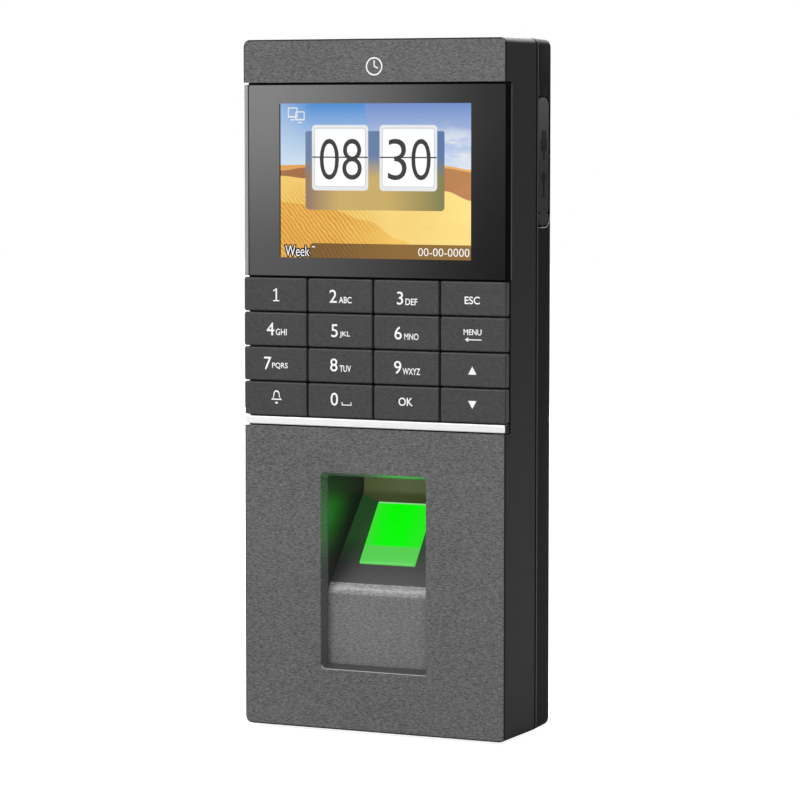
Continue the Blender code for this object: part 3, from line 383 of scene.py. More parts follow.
# ---------------------------------------------------------------- mesh helpers
def add(name, verts, faces, material, body, slot):
    """New piece from vertices and faces, riding on a body."""
    mesh = bpy.data.meshes.new(name)
    mesh.from_pydata([tuple(v) for v in verts], [], faces)
    mesh.validate()
    return add_mesh(name, mesh, material, body)


def add_mesh(name, mesh, material, body):
    piece = bpy.data.objects.new(name, mesh)
    bpy.context.scene.collection.objects.link(piece)
    mesh.materials.clear()
    mesh.materials.append(material)
    if body:
        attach(piece, body)
    return piece


def smooth_by_angle(mesh, degrees=35):
    mesh.shade_smooth()
    mesh.set_sharp_from_angle(angle=math.radians(degrees))


def skin(rings, closed=True):
    """(verts, faces) of a surface over rings with equal point counts, with both ends filled."""
    count = len(rings[0])
    verts = [p for ring in rings for p in ring]
    faces = []
    for r in range(len(rings) - 1):
        for i in range(count):
            j = (i + 1) % count
            a, b = r * count, (r + 1) * count
            faces.append((a + i, a + j, b + j, b + i))
    if closed:
        faces.append(tuple(range(count))[::-1])
        faces.append(tuple(range(len(verts) - count, len(verts))))
    return verts, faces


def outward(mesh):
    bm = bmesh.new()
    bm.from_mesh(mesh)
    bmesh.ops.recalc_face_normals(bm, faces=bm.faces)
    bm.to_mesh(mesh)
    bm.free()


def weld(mesh):
    """Joins points that lie together, and turns the faces outward."""
    bm = bmesh.new()
    bm.from_mesh(mesh)
    bmesh.ops.remove_doubles(bm, verts=bm.verts, dist=1e-7)
    bmesh.ops.recalc_face_normals(bm, faces=bm.faces)
    bm.to_mesh(mesh)
    bm.free()


def rounded(low_x, high_x, low_z, high_z, radius, steps=6):
    """Round-cornered rectangle as (x, z) pairs; radius is one number, or one for each corner."""
    radii = radius if isinstance(radius, tuple) else (radius,) * 4
    corners = (
        (high_x, high_z, -1, -1, 0),
        (low_x, high_z, 1, -1, 90),
        (low_x, low_z, 1, 1, 180),
        (high_x, low_z, -1, 1, 270),
    )
    points = []
    for (x, z, way_x, way_z, start), r in zip(corners, radii):
        for i in range(steps + 1):
            turn = math.radians(start + 90 * i / steps)
            points.append((x + way_x * r + r * math.cos(turn), z + way_z * r + r * math.sin(turn)))
    return points


def refined(node, material, width, segments=3, angle=30, name=None):
    """A CAD node's shape again, with its flat faces whole and its edges rounded by width."""
    bm = bmesh.new()
    bm.from_mesh(NODES[node].data)
    bmesh.ops.remove_doubles(bm, verts=bm.verts, dist=1e-6)
    flat = math.radians(0.5)
    bmesh.ops.dissolve_limit(bm, angle_limit=flat, verts=bm.verts, edges=bm.edges)
    bm.verts.index_update()
    verts = [v.co.copy() for v in bm.verts]
    faces = [tuple(v.index for v in f.verts) for f in bm.faces]
    bm.free()
    body = NODES[node]["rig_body"]
    piece = add(name or node + "_finish", verts, faces, material, body, slot_of(node))
    piece.data.shade_smooth()
    bevel = piece.modifiers.new("rounding", "BEVEL")
    bevel.width = width
    bevel.segments = segments
    bevel.limit_method = "ANGLE"
    bevel.angle_limit = math.radians(angle)
    bevel.use_clamp_overlap = True
    weighted = piece.modifiers.new("flat_faces", "WEIGHTED_NORMAL")
    weighted.keep_sharp = False
    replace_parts(piece, node)
    return piece


def slot_of(node):
    for subpart in frame["record"]["subparts"]:
        if subpart["node"] == node:
            return subpart["material_slot"]


def lettering(text, cap, centre, front, thick=0.03 * MM, weight=0.0, width=None):
    """(verts, faces) of a line of text facing -Y, cap high and width wide, centred on (x, z)."""
    curve = bpy.data.curves.new("lettering", "FONT")
    curve.body = text
    curve.offset = weight
    curve.extrude = 0.01
    curve.resolution_u = 5
    holder = bpy.data.objects.new("lettering", curve)
    bpy.context.scene.collection.objects.link(holder)
    graph = bpy.context.evaluated_depsgraph_get()
    mesh = bpy.data.meshes.new_from_object(holder.evaluated_get(graph))
    verts = [v.co.copy() for v in mesh.vertices]
    faces = [tuple(p.vertices) for p in mesh.polygons]
    bpy.data.objects.remove(holder)
    bpy.data.curves.remove(curve)
    bpy.data.meshes.remove(mesh)
    low = [min(v[i] for v in verts) for i in (0, 1)]
    high = [max(v[i] for v in verts) for i in (0, 1)]
    scale_z = cap / (high[1] - low[1])
    scale_x = width / (high[0] - low[0]) if width else scale_z
    middle = [(a + b) / 2 for a, b in zip(low, high)]
    placed = [
        (
            centre[0] + (v.x - middle[0]) * scale_x,
            front if v.z > 0 else front + thick,
            centre[1] + (v.y - middle[1]) * scale_z,
        )
        for v in verts
    ]
    return placed, faces


def flat_mark(outline, front, thick=0.03 * MM):
    """(verts, faces) of a filled outline of (x, z) pairs facing -Y."""
    count = len(outline)
    verts = [(x, front, z) for x, z in outline] + [(x, front + thick, z) for x, z in outline]
    faces = [tuple(range(count)), tuple(range(count, 2 * count))[::-1]]
    for i in range(count):
        j = (i + 1) % count
        faces.append((i, i + count, j + count, j))
    return verts, faces


def band(outer, inner, front, thick=0.03 * MM):
    """(verts, faces) of a closed band between two outlines with equal point counts."""
    count = len(outer)
    rings = [
        [(x, front, z) for x, z in outer],
        [(x, front, z) for x, z in inner],
        [(x, front + thick, z) for x, z in inner],
        [(x, front + thick, z) for x, z in outer],
    ]
    verts = [p for ring in rings for p in ring]
    faces = []
    for r in range(4):
        a, b = r * count, ((r + 1) % 4) * count
        for i in range(count):
            j = (i + 1) % count
            faces.append((a + i, a + j, b + j, b + i))
    return verts, faces


def together(*parts):
    """Several (verts, faces) as one."""
    verts, faces = [], []
    for part_verts, part_faces in parts:
        start = len(verts)
        verts += part_verts
        faces += [tuple(i + start for i in face) for face in part_faces]
    return verts, faces


def ellipse(x, z, radius_x, radius_z=None, count=32, start=0, end=360):
    radius_z = radius_z or radius_x
    whole = end - start == 360
    steps = count if whole else count - 1
    return [
        (
            x + radius_x * math.cos(math.radians(start + (end - start) * i / steps)),
            z + radius_z * math.sin(math.radians(start + (end - start) * i / steps)),
        )
        for i in range(count)
    ]


def stroke(points, width):
    """Outline of a line of that width through the points."""
    left, right = [], []
    for i, (x, z) in enumerate(points):
        before = points[max(i - 1, 0)]
        after = points[min(i + 1, len(points) - 1)]
        way = Vector((after[0] - before[0], after[1] - before[1])).normalized()
        left.append((x - way.y * width / 2, z + way.x * width / 2))
        right.append((x + way.y * width / 2, z - way.x * width / 2))
    return left + right[::-1]


# ---------------------------------------------------------------- casing
front_casing = refined("front_housing", MATERIALS["casing_black"], 0.3 * MM)
front_casing.data.materials.append(MATERIALS["casing_grey"])
front_casing.data.materials.append(MATERIALS["reveal_grey"])
for face in front_casing.data.polygons:
    if face.normal.y < -0.95 and face.center.y < deep(0.2):
        face.material_index = 1
    beside = abs(face.center.x) < OPENING_HALF * MM
    in_opening = beside and high(OPENING_LOW) < face.center.z < high(OPENING_TOP)
    if in_opening and face.center.y < deep(3.4):
        face.material_index = 1 if face.normal.z < 0.5 else 2
rear_casing = refined("rear_housing", MATERIALS["rear_black"], 0.3 * MM)
rear_casing.data.materials.append(MATERIALS["notch_grey"])
for face in rear_casing.data.polygons:
    if 37 * MM < face.center.x < 39.7 * MM and high(176.9) < face.center.z < high(180.2):  # nail notch
        face.material_index = 1
# pale line along the lower edge of the opening: a painted highlight
lit_edge_points = [spot(16.0, 17.2), spot(-14.9, 17.2), spot(-15.5, 17.45), spot(-15.85, 18.0)]
add(
    "opening_highlight",
    *flat_mark(stroke(lit_edge_points, 0.22 * MM), FRONT - 0.01 * MM, 0.3 * MM),
    MATERIALS["edge_highlight"],
    "terminal",
    "casing_grey",
)


def side_band(name, depth, deep_end, proud, material):
    """Thin closed band round the casing between two depths, standing proud of its sides."""
    half, over, thick = HALF_WIDE * MM + proud, proud, 0.2
    outline = rounded(-half, half, high(0) - over, high(TALL) + over, CORNER * MM + over)
    inner = rounded(
        -half + thick * MM,
        half - thick * MM,
        high(thick) - over,
        high(TALL - thick) + over,
        (CORNER - thick) * MM + over,
    )
    parts = []
    for points in (outline, inner):
        parts.append([[(x, deep(d), z) for x, z in points] for d in (depth, deep_end)])
    rings = [parts[0][0], parts[0][1], parts[1][1], parts[1][0], parts[0][0]]
    piece = add(name, *skin(rings, closed=False), MATERIALS[material], "terminal", "casing_black")
    weld(piece.data)
    return piece


# seam_shadow: a near-black band, painted shadow of the seam gap
side_band("seam_shadow", SEAM_DEPTH - 1.1, SEAM_DEPTH - 0.15, 0.012 * MM, "black_edge_and_gap_shade")
# light band behind the seam shadow: a painted highlight on the rear casing's front edge
side_band("seam_highlight", SEAM_DEPTH - 0.1, SEAM_DEPTH + 0.42, 0.014 * MM, "thin_highlight")
# thin line on the right side behind the window: a painted highlight on the recess edge
recess_highlight = [spot(RIGHT_INSET, 127.2), spot(RIGHT_INSET, 180.2)]
add(
    "recess_highlight",
    *flat_mark(stroke(recess_highlight, 0.18 * MM), deep(3.15), 0.6 * MM),
    MATERIALS["thin_highlight"],
    "terminal",
    "casing_black",
)
# the guide's recess is darker than its chin: painted shade
guide = refined("finger_guide", MATERIALS["guide_recess_shade"], 0.3 * MM)
guide.data.materials.append(MATERIALS["guide_grey"])
guide.data.materials.append(MATERIALS["guide_back_green_light"])
guide.data.materials.append(MATERIALS["guide_ramp_shade_and_glow"])
guide.data.materials.append(MATERIALS["guide_bend_highlight"])
for face in guide.data.polygons:
    normal, centre = face.normal, face.center
    if normal.z > 0.3 and normal.y < -0.3 and centre.z > high(40):  # ramp
        face.material_index = 3
    # the bend gets the lighter finish, a painted highlight
    if normal.y < -0.8 and centre.z < high(46):  # bend, or chin below it
        face.material_index = 4 if normal.y > -0.985 and centre.z > high(36) else 1
    # back wall: olive finish, painted green light of the sensor
    if normal.y < -0.7 and centre.z > high(58) and centre.y > deep(20):  # back wall
        face.material_index = 2
trim = refined("trim_strip", MATERIALS["chrome_trim"], 0.25 * MM)
trim.data.materials.append(MATERIALS["casing_black"])
for face in trim.data.polygons:
    if face.normal.x > 0.9:
        face.material_index = 1
refined("wall_plate", MATERIALS["sheet_steel"], 0.15 * MM, 2)
for node in ("usb_socket", "service_socket", "power_jack"):
    refined(node, MATERIALS[slot_of(node)], 0.08 * MM, 2)
for node in sorted(NODES):
    if "_screw" in node:
        refined(node, MATERIALS["fastener"], 0.1 * MM, 2)
for node in ("usb_cover", "cover_strap"):
    cover = refined(node, MATERIALS["cover_rubber"], 0.2 * MM)
    cover.data.materials.append(MATERIALS["black_edge_and_gap_shade"])
    # faces not turned outward: near-black, painted shade of the gap round the cover
    for face in cover.data.polygons:
        if face.normal.x < 0.3:
            face.material_index = 1

# ---------------------------------------------------------------- keys
KEY_LEGENDS = {
    "key_2": [("2", -12.07, 121.77, 3.6), ("ABC", -8.37, 120.8, 1.8, 3.9)],
    "key_3": [("3", 8.3, 121.67, 3.6), ("DEF", 11.74, 120.71, 1.8, 3.6)],
    "key_esc": [("ESC", 29.9, 121.5, 2.1, 4.5)],
    "key_4": [("4", -31.54, 112.23, 3.6), ("GHI", -28.16, 111.43, 1.8, 3.4)],
    "key_5": [("5", -11.68, 112.2, 3.6), ("JKL", -8.5, 111.17, 1.8, 3.2)],
    "key_6": [("6", 7.73, 112.05, 3.6), ("MNO", 11.74, 111.12, 1.8, 4.3)],
    "key_menu": [("MENU", 30.0, 112.8, 1.6, 5.3)],
    "key_7": [("7", -32.4, 102.58, 3.6), ("PQRS", -28.6, 101.92, 1.8)],
    "key_8": [("8", -11.88, 102.66, 3.6), ("TUV", -8.37, 101.72, 1.8, 3.5)],
    "key_9": [("9", 7.6, 102.55, 3.6), ("WXYZ", 11.74, 101.52, 1.8, 5.3)],
    "key_0": [("0", -11.75, 93.14, 3.6)],
    "key_ok": [("OK", 10.0, 93.1, 2.3, 4.3)],
}


def triangle(x, height, way):
    half_width, half_height = 1.25, 1.1 * way
    return [
        spot(x - half_width, height - half_height),
        spot(x + half_width, height - half_height),
        spot(x, height + half_height),
    ]


def bell_outline(x, height):
    """Outer and inner outlines of a line-drawn bell."""
    half = [(0.0, 1.7), (0.35, 1.62), (0.75, 1.35), (0.95, 0.8), (1.0, 0.0), (1.25, -0.55), (1.7, -1.0)]
    whole = [(a, b) for a, b in half[::-1]] + [(-a, b) for a, b in half[1:]]
    outside = [spot(x + a, height + b) for a, b in whole]
    inside = [spot(x + a * 0.72, height + 0.05 + b * 0.72) for a, b in whole]
    return outside, inside


def arrow_outline(x, height):
    shape = [
        (-2.5, 0), (-1.5, 0.62), (-1.5, 0.14), (2.5, 0.14), (2.5, -0.14), (-1.5, -0.14), (-1.5, -0.62),
    ]
    return [spot(x + a, height + b) for a, b in shape]


def one_outline(x, height):
    shape = [
        (0.25, 1.8), (-0.15, 1.8), (-1.0, 1.15), (-0.8, 0.9), (-0.2, 1.35), (-0.2, -1.5), (-0.95, -1.5),
        (-0.95, -1.8), (0.95, -1.8), (0.95, -1.5), (0.25, -1.5),
    ]
    return [spot(x + a, height + b) for a, b in shape]


def space_outline(x, height):
    shape = [
        (-1.5, 0.45), (-1.25, 0.45), (-1.25, -0.2), (1.25, -0.2), (1.25, 0.45), (1.5, 0.45), (1.5, -0.45),
        (-1.5, -0.45),
    ]
    return [spot(x + a, height + b) for a, b in shape]


KEY_SIGNS = {
    "key_1": [one_outline(-29.68, 121.83)],
    "key_up": [triangle(29.96, 102.31, 1)],
    "key_down": [triangle(29.96, 92.92, -1)],
    "key_bell": [
        [(x * MM, high(h)) for x, h in ellipse(-29.68, 91.55, 0.45, 0.3, 12)],
    ],
    "key_menu": [arrow_outline(30.21, 110.75)],
    "key_0": [space_outline(-7.98, 91.93)],
}

for node in sorted(n for n in NODES if n.startswith("key_")):
    refined(node, MATERIALS["key_grey"], 0.3 * MM, 4)
    key_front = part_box(node)[0].y - MARK_PROUD * MM
    parts = []
    for text, x, height, cap, *width in KEY_LEGENDS.get(node, []):
        wide = width[0] * MM if width else None
        weight = 0.004 if cap > 2.5 else 0.012
        parts.append(lettering(text, cap * MM, spot(x, height), key_front, weight=weight, width=wide))
    for outline in KEY_SIGNS.get(node, []):
        parts.append(flat_mark(outline, key_front))
    if node == "key_bell":
        parts.append(band(*bell_outline(-29.68, 93.35), key_front))
    add(node + "_legend", *together(*parts), MATERIALS["white_ink"], NODES[node]["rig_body"], "key_grey")

# ---------------------------------------------------------------- header mark
mark_x, mark_height, mark_radius = 0.5, 185.2, 2.5
mark_front = deep(0) - MARK_PROUD * MM


def ring_points(radius):
    return [spot(x, h) for x, h in ellipse(mark_x, mark_height, radius, count=48)]


hands = [spot(mark_x, mark_height + 1.6), spot(mark_x, mark_height), spot(mark_x + 1.2, mark_height - 0.5)]
add(
    "header_mark",
    *together(
        band(ring_points(mark_radius), ring_points(mark_radius - 0.38), mark_front),
        flat_mark(stroke(hands[:2], 0.34 * MM), mark_front),
        flat_mark(stroke(hands[1:], 0.34 * MM), mark_front),
    ),
    MATERIALS["white_ink"],
    "terminal",
    "casing_grey",
)

# ---------------------------------------------------------------- display
SCREEN_X, SCREEN_LOW, SCREEN_WIDE, SCREEN_TALL = -27.95, 132.1, 57.5, 43.2


def screen(u, v):
    """Point of the picture; u and v run from its lower left corner."""
    return spot(SCREEN_X + SCREEN_WIDE * u, SCREEN_LOW + SCREEN_TALL * v)


def screen_box(u0, u1, v0, v1, radius, steps=5):
    low, top = screen(u0, v0), screen(u1, v1)
    if isinstance(radius, tuple):
        radius = tuple(r * MM for r in radius)
    else:
        radius = radius * MM
    return rounded(low[0], top[0], low[1], top[1], radius, steps)


WINDOW_BACK = 3.2
PANE_BACK = 0.5
window_outline = rounded(-38.35 * MM, 39.9 * MM, high(126.95), high(180.5), 0.5 * MM)
pane_outline = rounded(-28.54 * MM, 29.48 * MM, high(132.35), high(175.1), 0.15 * MM, 6)


def window_ring(depth, inset, outline=window_outline):
    """Ring of points at a depth, drawn in by an inset."""
    middle = [sum(p[i] for p in outline) / len(outline) for i in (0, 1)]
    half = [max(abs(p[i] - middle[i]) for p in outline) for i in (0, 1)]
    return [
        (
            middle[0] + (x - middle[0]) * (1 - inset * MM / half[0]),
            deep(depth),
            middle[1] + (z - middle[1]) * (1 - inset * MM / half[1]),
        )
        for x, z in outline
    ]


def window_mesh():
    """Black printed border with black sides, a pale left strip of painted light along the lens edge, and the
    clear pane, as one mesh with four finishes.
    """
    count = len(window_outline)
    border_rings = [
        window_ring(WINDOW_BACK, 0),
        window_ring(0.3, 0),
        window_ring(0.09, 0.09),
        window_ring(0, 0.3),
        window_ring(0, 0.33),
        window_ring(0, 0, pane_outline),
        window_ring(WINDOW_BACK, 0, pane_outline),
    ]
    verts = [p for ring in border_rings for p in ring]
    faces, finishes = [], []
    for r in range(len(border_rings)):
        a, b = r * count, ((r + 1) % len(border_rings)) * count
        for i in range(count):
            j = (i + 1) % count
            faces.append((a + i, a + j, b + j, b + i))
            finishes.append(3 if r < 3 else 0)
    pane = skin([window_ring(0, 0, pane_outline), window_ring(PANE_BACK, 0, pane_outline)])
    # pale strip along the left edge: painted light of the lens edge
    edge_outline = rounded(-39.6 * MM, -38.37 * MM, high(127.1), high(180.35), 0.3 * MM)
    edge = skin([window_ring(0.12, 0.12, edge_outline), window_ring(0.3, 0, edge_outline),
                 window_ring(WINDOW_BACK, 0, edge_outline)])
    for finish, (part_verts, part_faces) in ((1, pane), (2, edge)):
        start = len(verts)
        verts += part_verts
        faces += [tuple(i + start for i in face) for face in part_faces]
        finishes += [finish] * len(part_faces)
    return verts, faces, finishes


verts, faces, finishes = window_mesh()
window = add("display_window_finish", verts, faces, MATERIALS["black_gloss"], "terminal", "smoked_lens")
window.data.materials.append(MATERIALS["smoked_lens"])
window.data.materials.append(MATERIALS["window_edge_painted_light"])
window.data.materials.append(MATERIALS["black_edge_and_gap_shade"])
window.data.polygons.foreach_set("material_index", finishes)
outward(window.data)
smooth_by_angle(window.data, 50)
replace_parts(window, "display_window")


def picture_place(s):
    """(u, v) outputs across the display."""
    split = s.node("SeparateXYZ", {"Vector": s.place})
    low_x, low_z = screen(0, 0)
    top_x, top_z = screen(1, 1)
    return s.remap(split.outputs["X"], low_x, top_x), s.remap(split.outputs["Z"], low_z, top_z)


def sky(s):
    u, v = picture_place(s)
    left = s.mix(s.remap(v, 0.55, 0.98), srgb(234, 248, 255), srgb(92, 154, 222))
    left = s.mix(s.remap(u, 0.16, 0.0, 0.0, 0.4), left, srgb(214, 230, 246))
    right = s.mix(s.remap(v, 0.6, 1.0), srgb(216, 230, 252), srgb(122, 152, 212))
    slant = s.maths("ADD", u, s.maths("MULTIPLY", v, 0.15))
    both = s.mix(s.remap(slant, 0.58, 0.59), left, right)
    cloud = s.noise((0.09, 1, 0.35), 4.0, 0.6)
    high_right = s.maths("MULTIPLY", s.remap(u, 0.45, 0.8), s.remap(v, 0.9, 0.74))
    share = s.maths("MULTIPLY", s.remap(cloud, 0.45, 0.62), high_right)
    return s.mix(share, both, srgb(240, 244, 250))


def dune(low, top):
    def build(s):
        u, v = picture_place(s)
        turned = s.node("Mapping", {"Vector": s.scaled((1, 1, 1))}, Rotation=(0, 0.7, 0))
        wave = s.node(
            "TexWave",
            {"Vector": turned.outputs["Vector"]},
            Scale=0.3,
            Distortion=4.5,
            Detail=2.0,
            bands_direction="X",
        )
        rippled = s.maths("MULTIPLY", s.remap(u, 0.58, 0.3), s.remap(v, 0.5, 0.3))
        ripples = s.maths("MULTIPLY", s.remap(wave.outputs["Fac"], 0.8, 0.2), rippled)
        grain = s.maths("MULTIPLY", s.noise((0.06, 1, 0.14), 3.0), 0.5)
        lit_side = s.remap(u, 0.2, 1.1, 0.2, 0.7)
        share = s.maths("ADD", lit_side, s.maths("SUBTRACT", grain, s.maths("MULTIPLY", ripples, 0.55)))
        return s.mix(share, low, top)

    return build


def even(colour, other):
    def build(s):
        return s.mix(s.noise((0.3, 0.3, 0.3)), colour, other)

    return build


def panel_tint(s):
    u, v = picture_place(s)
    lower = s.mix(s.remap(u, 0.14, 0.3), srgb(150, 124, 104), srgb(202, 172, 106))
    lower = s.mix(s.remap(u, 0.55, 0.84), lower, srgb(134, 130, 84))
    upper = s.mix(s.remap(u, 0.2, 0.8), srgb(112, 132, 160), srgb(96, 122, 164))
    return s.mix(s.remap(v, 0.52, 0.66), lower, upper)


def card_face(s):
    u, v = picture_place(s)
    return s.mix(s.remap(v, 0.44, 0.86), srgb(255, 255, 255), srgb(250, 250, 250))


GLOW = 1.3
LIT = {
    "sky": glowing("display_sky", sky, GLOW * 0.85),
    "far_dune": glowing("display_far_dune", dune(srgb(226, 176, 84), srgb(255, 226, 140)), GLOW),
    "near_dune": glowing("display_near_dune", dune(srgb(214, 150, 66), srgb(252, 214, 110)), GLOW),
    "shadow_dune": glowing("display_shadow_dune", dune(srgb(138, 94, 62), srgb(192, 136, 88)), GLOW),
    "panel": glowing("display_panel", panel_tint, GLOW),
    "bar": glowing("display_bar", dune(srgb(118, 88, 52), srgb(150, 114, 62)), GLOW),
    "card": glowing("display_card", card_face, GLOW),
    "card_rim": glowing("display_card_rim", even(srgb(222, 222, 220), srgb(236, 236, 234)), GLOW),
    "card_line": glowing("display_card_line", even(srgb(196, 198, 204), srgb(208, 210, 214)), GLOW),
    "ridge": glowing("display_ridge", dune(srgb(214, 150, 84), srgb(238, 178, 104)), GLOW),
    "outline": glowing("display_outline", even(srgb(8, 8, 8), srgb(24, 20, 16)), GLOW),
    "digit": glowing("display_digit", even(srgb(60, 60, 60), srgb(72, 72, 72)), GLOW),
    "white": glowing("display_white", even(srgb(244, 244, 244), srgb(255, 255, 255)), GLOW),
}


def lit(name, part, material):
    return add("display_" + name, *part, LIT[material], "terminal", "display_glass")


def layer(number):
    """Front of one of the picture's layers, counted from the back; it lies close behind the pane."""
    return deep(PANE_BACK + 0.22 - 0.011 * number)


THIN = 0.006 * MM
PAST = 1.03  # the picture runs on a little past the clear pane


def hills(points, material, name, number):
    """Ground below a line of (u, v) points."""
    smooth = []
    for i in range(len(points) - 1):
        (u0, v0), (u1, v1) = points[i], points[i + 1]
        for step in range(8):
            t = step / 8
            ease = t * t * (3 - 2 * t)
            smooth.append(screen(u0 + (u1 - u0) * t, v0 + (v1 - v0) * ease))
    smooth.append(screen(*points[-1]))
    right_end, left_end = screen(PAST, points[-1][1]), screen(-PAST + 1, points[0][1])
    outline = [screen(1 - PAST, 1 - PAST), screen(PAST, 1 - PAST), right_end] + smooth[::-1] + [left_end]
    lit(name, flat_mark(outline, layer(number), THIN), material)


lit("sky", flat_mark(screen_box(1 - PAST, PAST, 1 - PAST, PAST, 0.1), layer(0), THIN), "sky")
for number, (name, material, points) in enumerate(
    (
        ("ridge", "ridge", [
            (0, 0.60), (0.12, 0.603), (0.3, 0.59), (0.47, 0.63), (0.6, 0.6), (0.86, 0.6), (1, 0.575),
        ]),
        ("shadow_dunes", "shadow_dune", [
            (0, 0.565), (0.12, 0.585), (0.3, 0.57), (0.5, 0.6), (0.7, 0.57), (0.86, 0.585), (1, 0.56),
        ]),
        ("far_dunes", "far_dune", [
            (0, 0.53), (0.13, 0.515), (0.35, 0.53), (0.48, 0.59), (0.7, 0.53), (0.86, 0.44), (1, 0.38),
        ]),
        ("near_dunes", "near_dune", [
            (0, 0.36), (0.2, 0.34), (0.45, 0.25), (0.62, 0.13), (0.8, 0.02), (1, 0.0),
        ]),
    ),
    1,
):
    hills(points, material, name, number)

lit(
    "clock_panel",
    flat_mark(screen_box(0.124, 0.857, 0.314, 0.819, (0.6, 0.6, 1.1, 1.1)), layer(5), THIN),
    "panel",
)
bar_outline = screen_box(0.145, PAST, 1 - PAST, 0.1, (0.1, 1.2, 0.1, 0.1))
lit("lower_bar", flat_mark(bar_outline, layer(5), THIN), "bar")
for side, u0, u1, digits in (
    ("left", 0.159, 0.458, (("0", 0.201, 0.303), ("8", 0.321, 0.424))),
    ("right", 0.518, 0.819, (("3", 0.562, 0.660), ("0", 0.685, 0.786))),
):
    lit(side + "_card_rim", flat_mark(screen_box(u0, u1, 0.439, 0.858, 1.1), layer(6), THIN), "card_rim")
    lit(
        side + "_card_line",
        flat_mark(screen_box(u0 + 0.013, u1 - 0.013, 0.464, 0.84, 0.7), layer(7), THIN),
        "card_line",
    )
    lit(
        side + "_card",
        flat_mark(screen_box(u0 + 0.017, u1 - 0.017, 0.468, 0.834, 0.6), layer(8), THIN),
        "card",
    )
    marks = []
    for text, left_u, right_u in digits:
        left, right = screen(left_u, 0.508), screen(right_u, 0.77)
        centre = ((left[0] + right[0]) / 2, (left[1] + right[1]) / 2)
        marks.append(
            lettering(text, right[1] - left[1], centre, layer(9), THIN, -0.006, right[0] - left[0])
        )
    lit(side + "_digits", together(*marks), "digit")
    split = [screen(u0 + 0.002, 0.652), screen(u1 - 0.002, 0.652)]
    lit(side + "_split", flat_mark(stroke(split, 0.36 * MM), layer(10), THIN), "digit")

DAY_OUTLINE = 0.34 * MM  # black outline of the weekday word, drawn as shifted copies
centre = screen(0.08, 0.048)
copies = []
for step in range(12):
    turn = math.radians(30 * step)
    shifted = (centre[0] + DAY_OUTLINE * math.cos(turn), centre[1] + DAY_OUTLINE * math.sin(turn))
    copies.append(lettering("Week", 3.0 * MM, shifted, layer(7 + 0.05 * step), THIN, 0.012, 7.7 * MM))
lit("day_shadow", together(*copies), "outline")
lit("day", lettering("Week", 3.0 * MM, centre, layer(9), THIN, -0.002, 7.5 * MM), "white")
dash = [screen(0.158, 0.076), screen(0.174, 0.076)]
lit("day_dash", flat_mark(stroke(dash, 0.3 * MM), layer(8), THIN), "white")
centre = screen(0.8535, 0.053)
lit("date", lettering("00-00-0000", 2.2 * MM, centre, layer(7), THIN, -0.006, 15.3 * MM), "white")

monitors = []
for u0, u1, v0, v1 in ((0.03, 0.082, 0.905, 0.97), (0.07, 0.12, 0.887, 0.945)):
    outside = screen_box(u0, u1, v0, v1, 0.3)
    inside = screen_box(u0 + 0.005, u1 - 0.005, v0 + 0.01, v1 - 0.007, 0.1)
    monitors.append(band(outside, inside, layer(6), THIN))
    foot = [screen(u0 + 0.015, v0 - 0.014), screen(u1 - 0.015, v0 - 0.014)]
    monitors.append(flat_mark(stroke(foot, 0.3 * MM), layer(6), THIN))
lit("network_sign", together(*monitors), "card_rim")

# ---------------------------------------------------------------- lit sensor


def glass_light(s):
    low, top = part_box("sensor_prism")
    split = s.node("SeparateXYZ", {"Vector": s.place})
    up = s.remap(split.outputs["Z"], low.z, top.z)
    across = s.remap(split.outputs["X"], low.x, top.x)
    edge = s.maths("ABSOLUTE", s.maths("SUBTRACT", across, 0.5), 0.0)
    middle = s.mix(s.remap(edge, 0.15, 0.5), (0.001, 0.92, 0.0005), (0.02, 0.78, 0.015))
    inner_edge = s.maths("ADD", across, s.maths("MULTIPLY", up, 0.1))
    left = s.mix(s.remap(inner_edge, 0.2, 0.1), middle, (0.045, 0.72, 0.035))
    paler = s.mix(s.remap(up, 0.41, 0.38), left, (0.10, 0.60, 0.09))
    haze = s.noise((0.16, 0.16, 0.16), 3.0)
    shown = s.mix(s.maths("MULTIPLY", s.remap(haze, 0.4, 0.8), 0.12), paler, (0.04, 0.8, 0.04))
    return s.mix(s.remap(up, 0.972, 0.985), shown, (0.3, 0.62, 0.28))


lit_glass = glowing("sensor_glass", glass_light, 1.0, (0.003, 0.02, 0.003), 0.12, 0.5)
refined("sensor_prism", lit_glass, 0.25 * MM)
MATERIALS["sensor_glass"] = lit_glass

# ---------------------------------------------------------------- cover marks
COVER_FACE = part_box("usb_cover")[1].x


def raised(name, parts, body, proud=0.16 * MM):
    """Outlines given as (depth, height) in millimetres, raised from the right side."""
    verts, faces = [], []
    for outline in parts:
        start, count = len(verts), len(outline)
        points = [(deep(d), high(h)) for d, h in outline]
        middle = (sum(p[0] for p in points) / count, sum(p[1] for p in points) / count)
        small = [(middle[0] + (y - middle[0]) * 0.93, middle[1] + (z - middle[1]) * 0.93) for y, z in points]
        verts += [(COVER_FACE - 0.05 * MM, y, z) for y, z in points]
        verts += [(COVER_FACE + proud * 0.6, y, z) for y, z in points]
        verts += [(COVER_FACE + proud, y, z) for y, z in small]
        for r in range(2):
            for i in range(count):
                j = (i + 1) % count
                a, b = start + r * count, start + (r + 1) * count
                faces.append((a + i, a + j, b + j, b + i))
        faces.append(tuple(start + i for i in range(count))[::-1])
        faces.append(tuple(start + 2 * count + i for i in range(count)))
    piece = add(name, verts, faces, MATERIALS["mark_black"], body, "cover_rubber")
    outward(piece.data)
    return piece


def bar(d0, d1, h0, h1):
    return [(d0, h0), (d1, h0), (d1, h1), (d0, h1)]


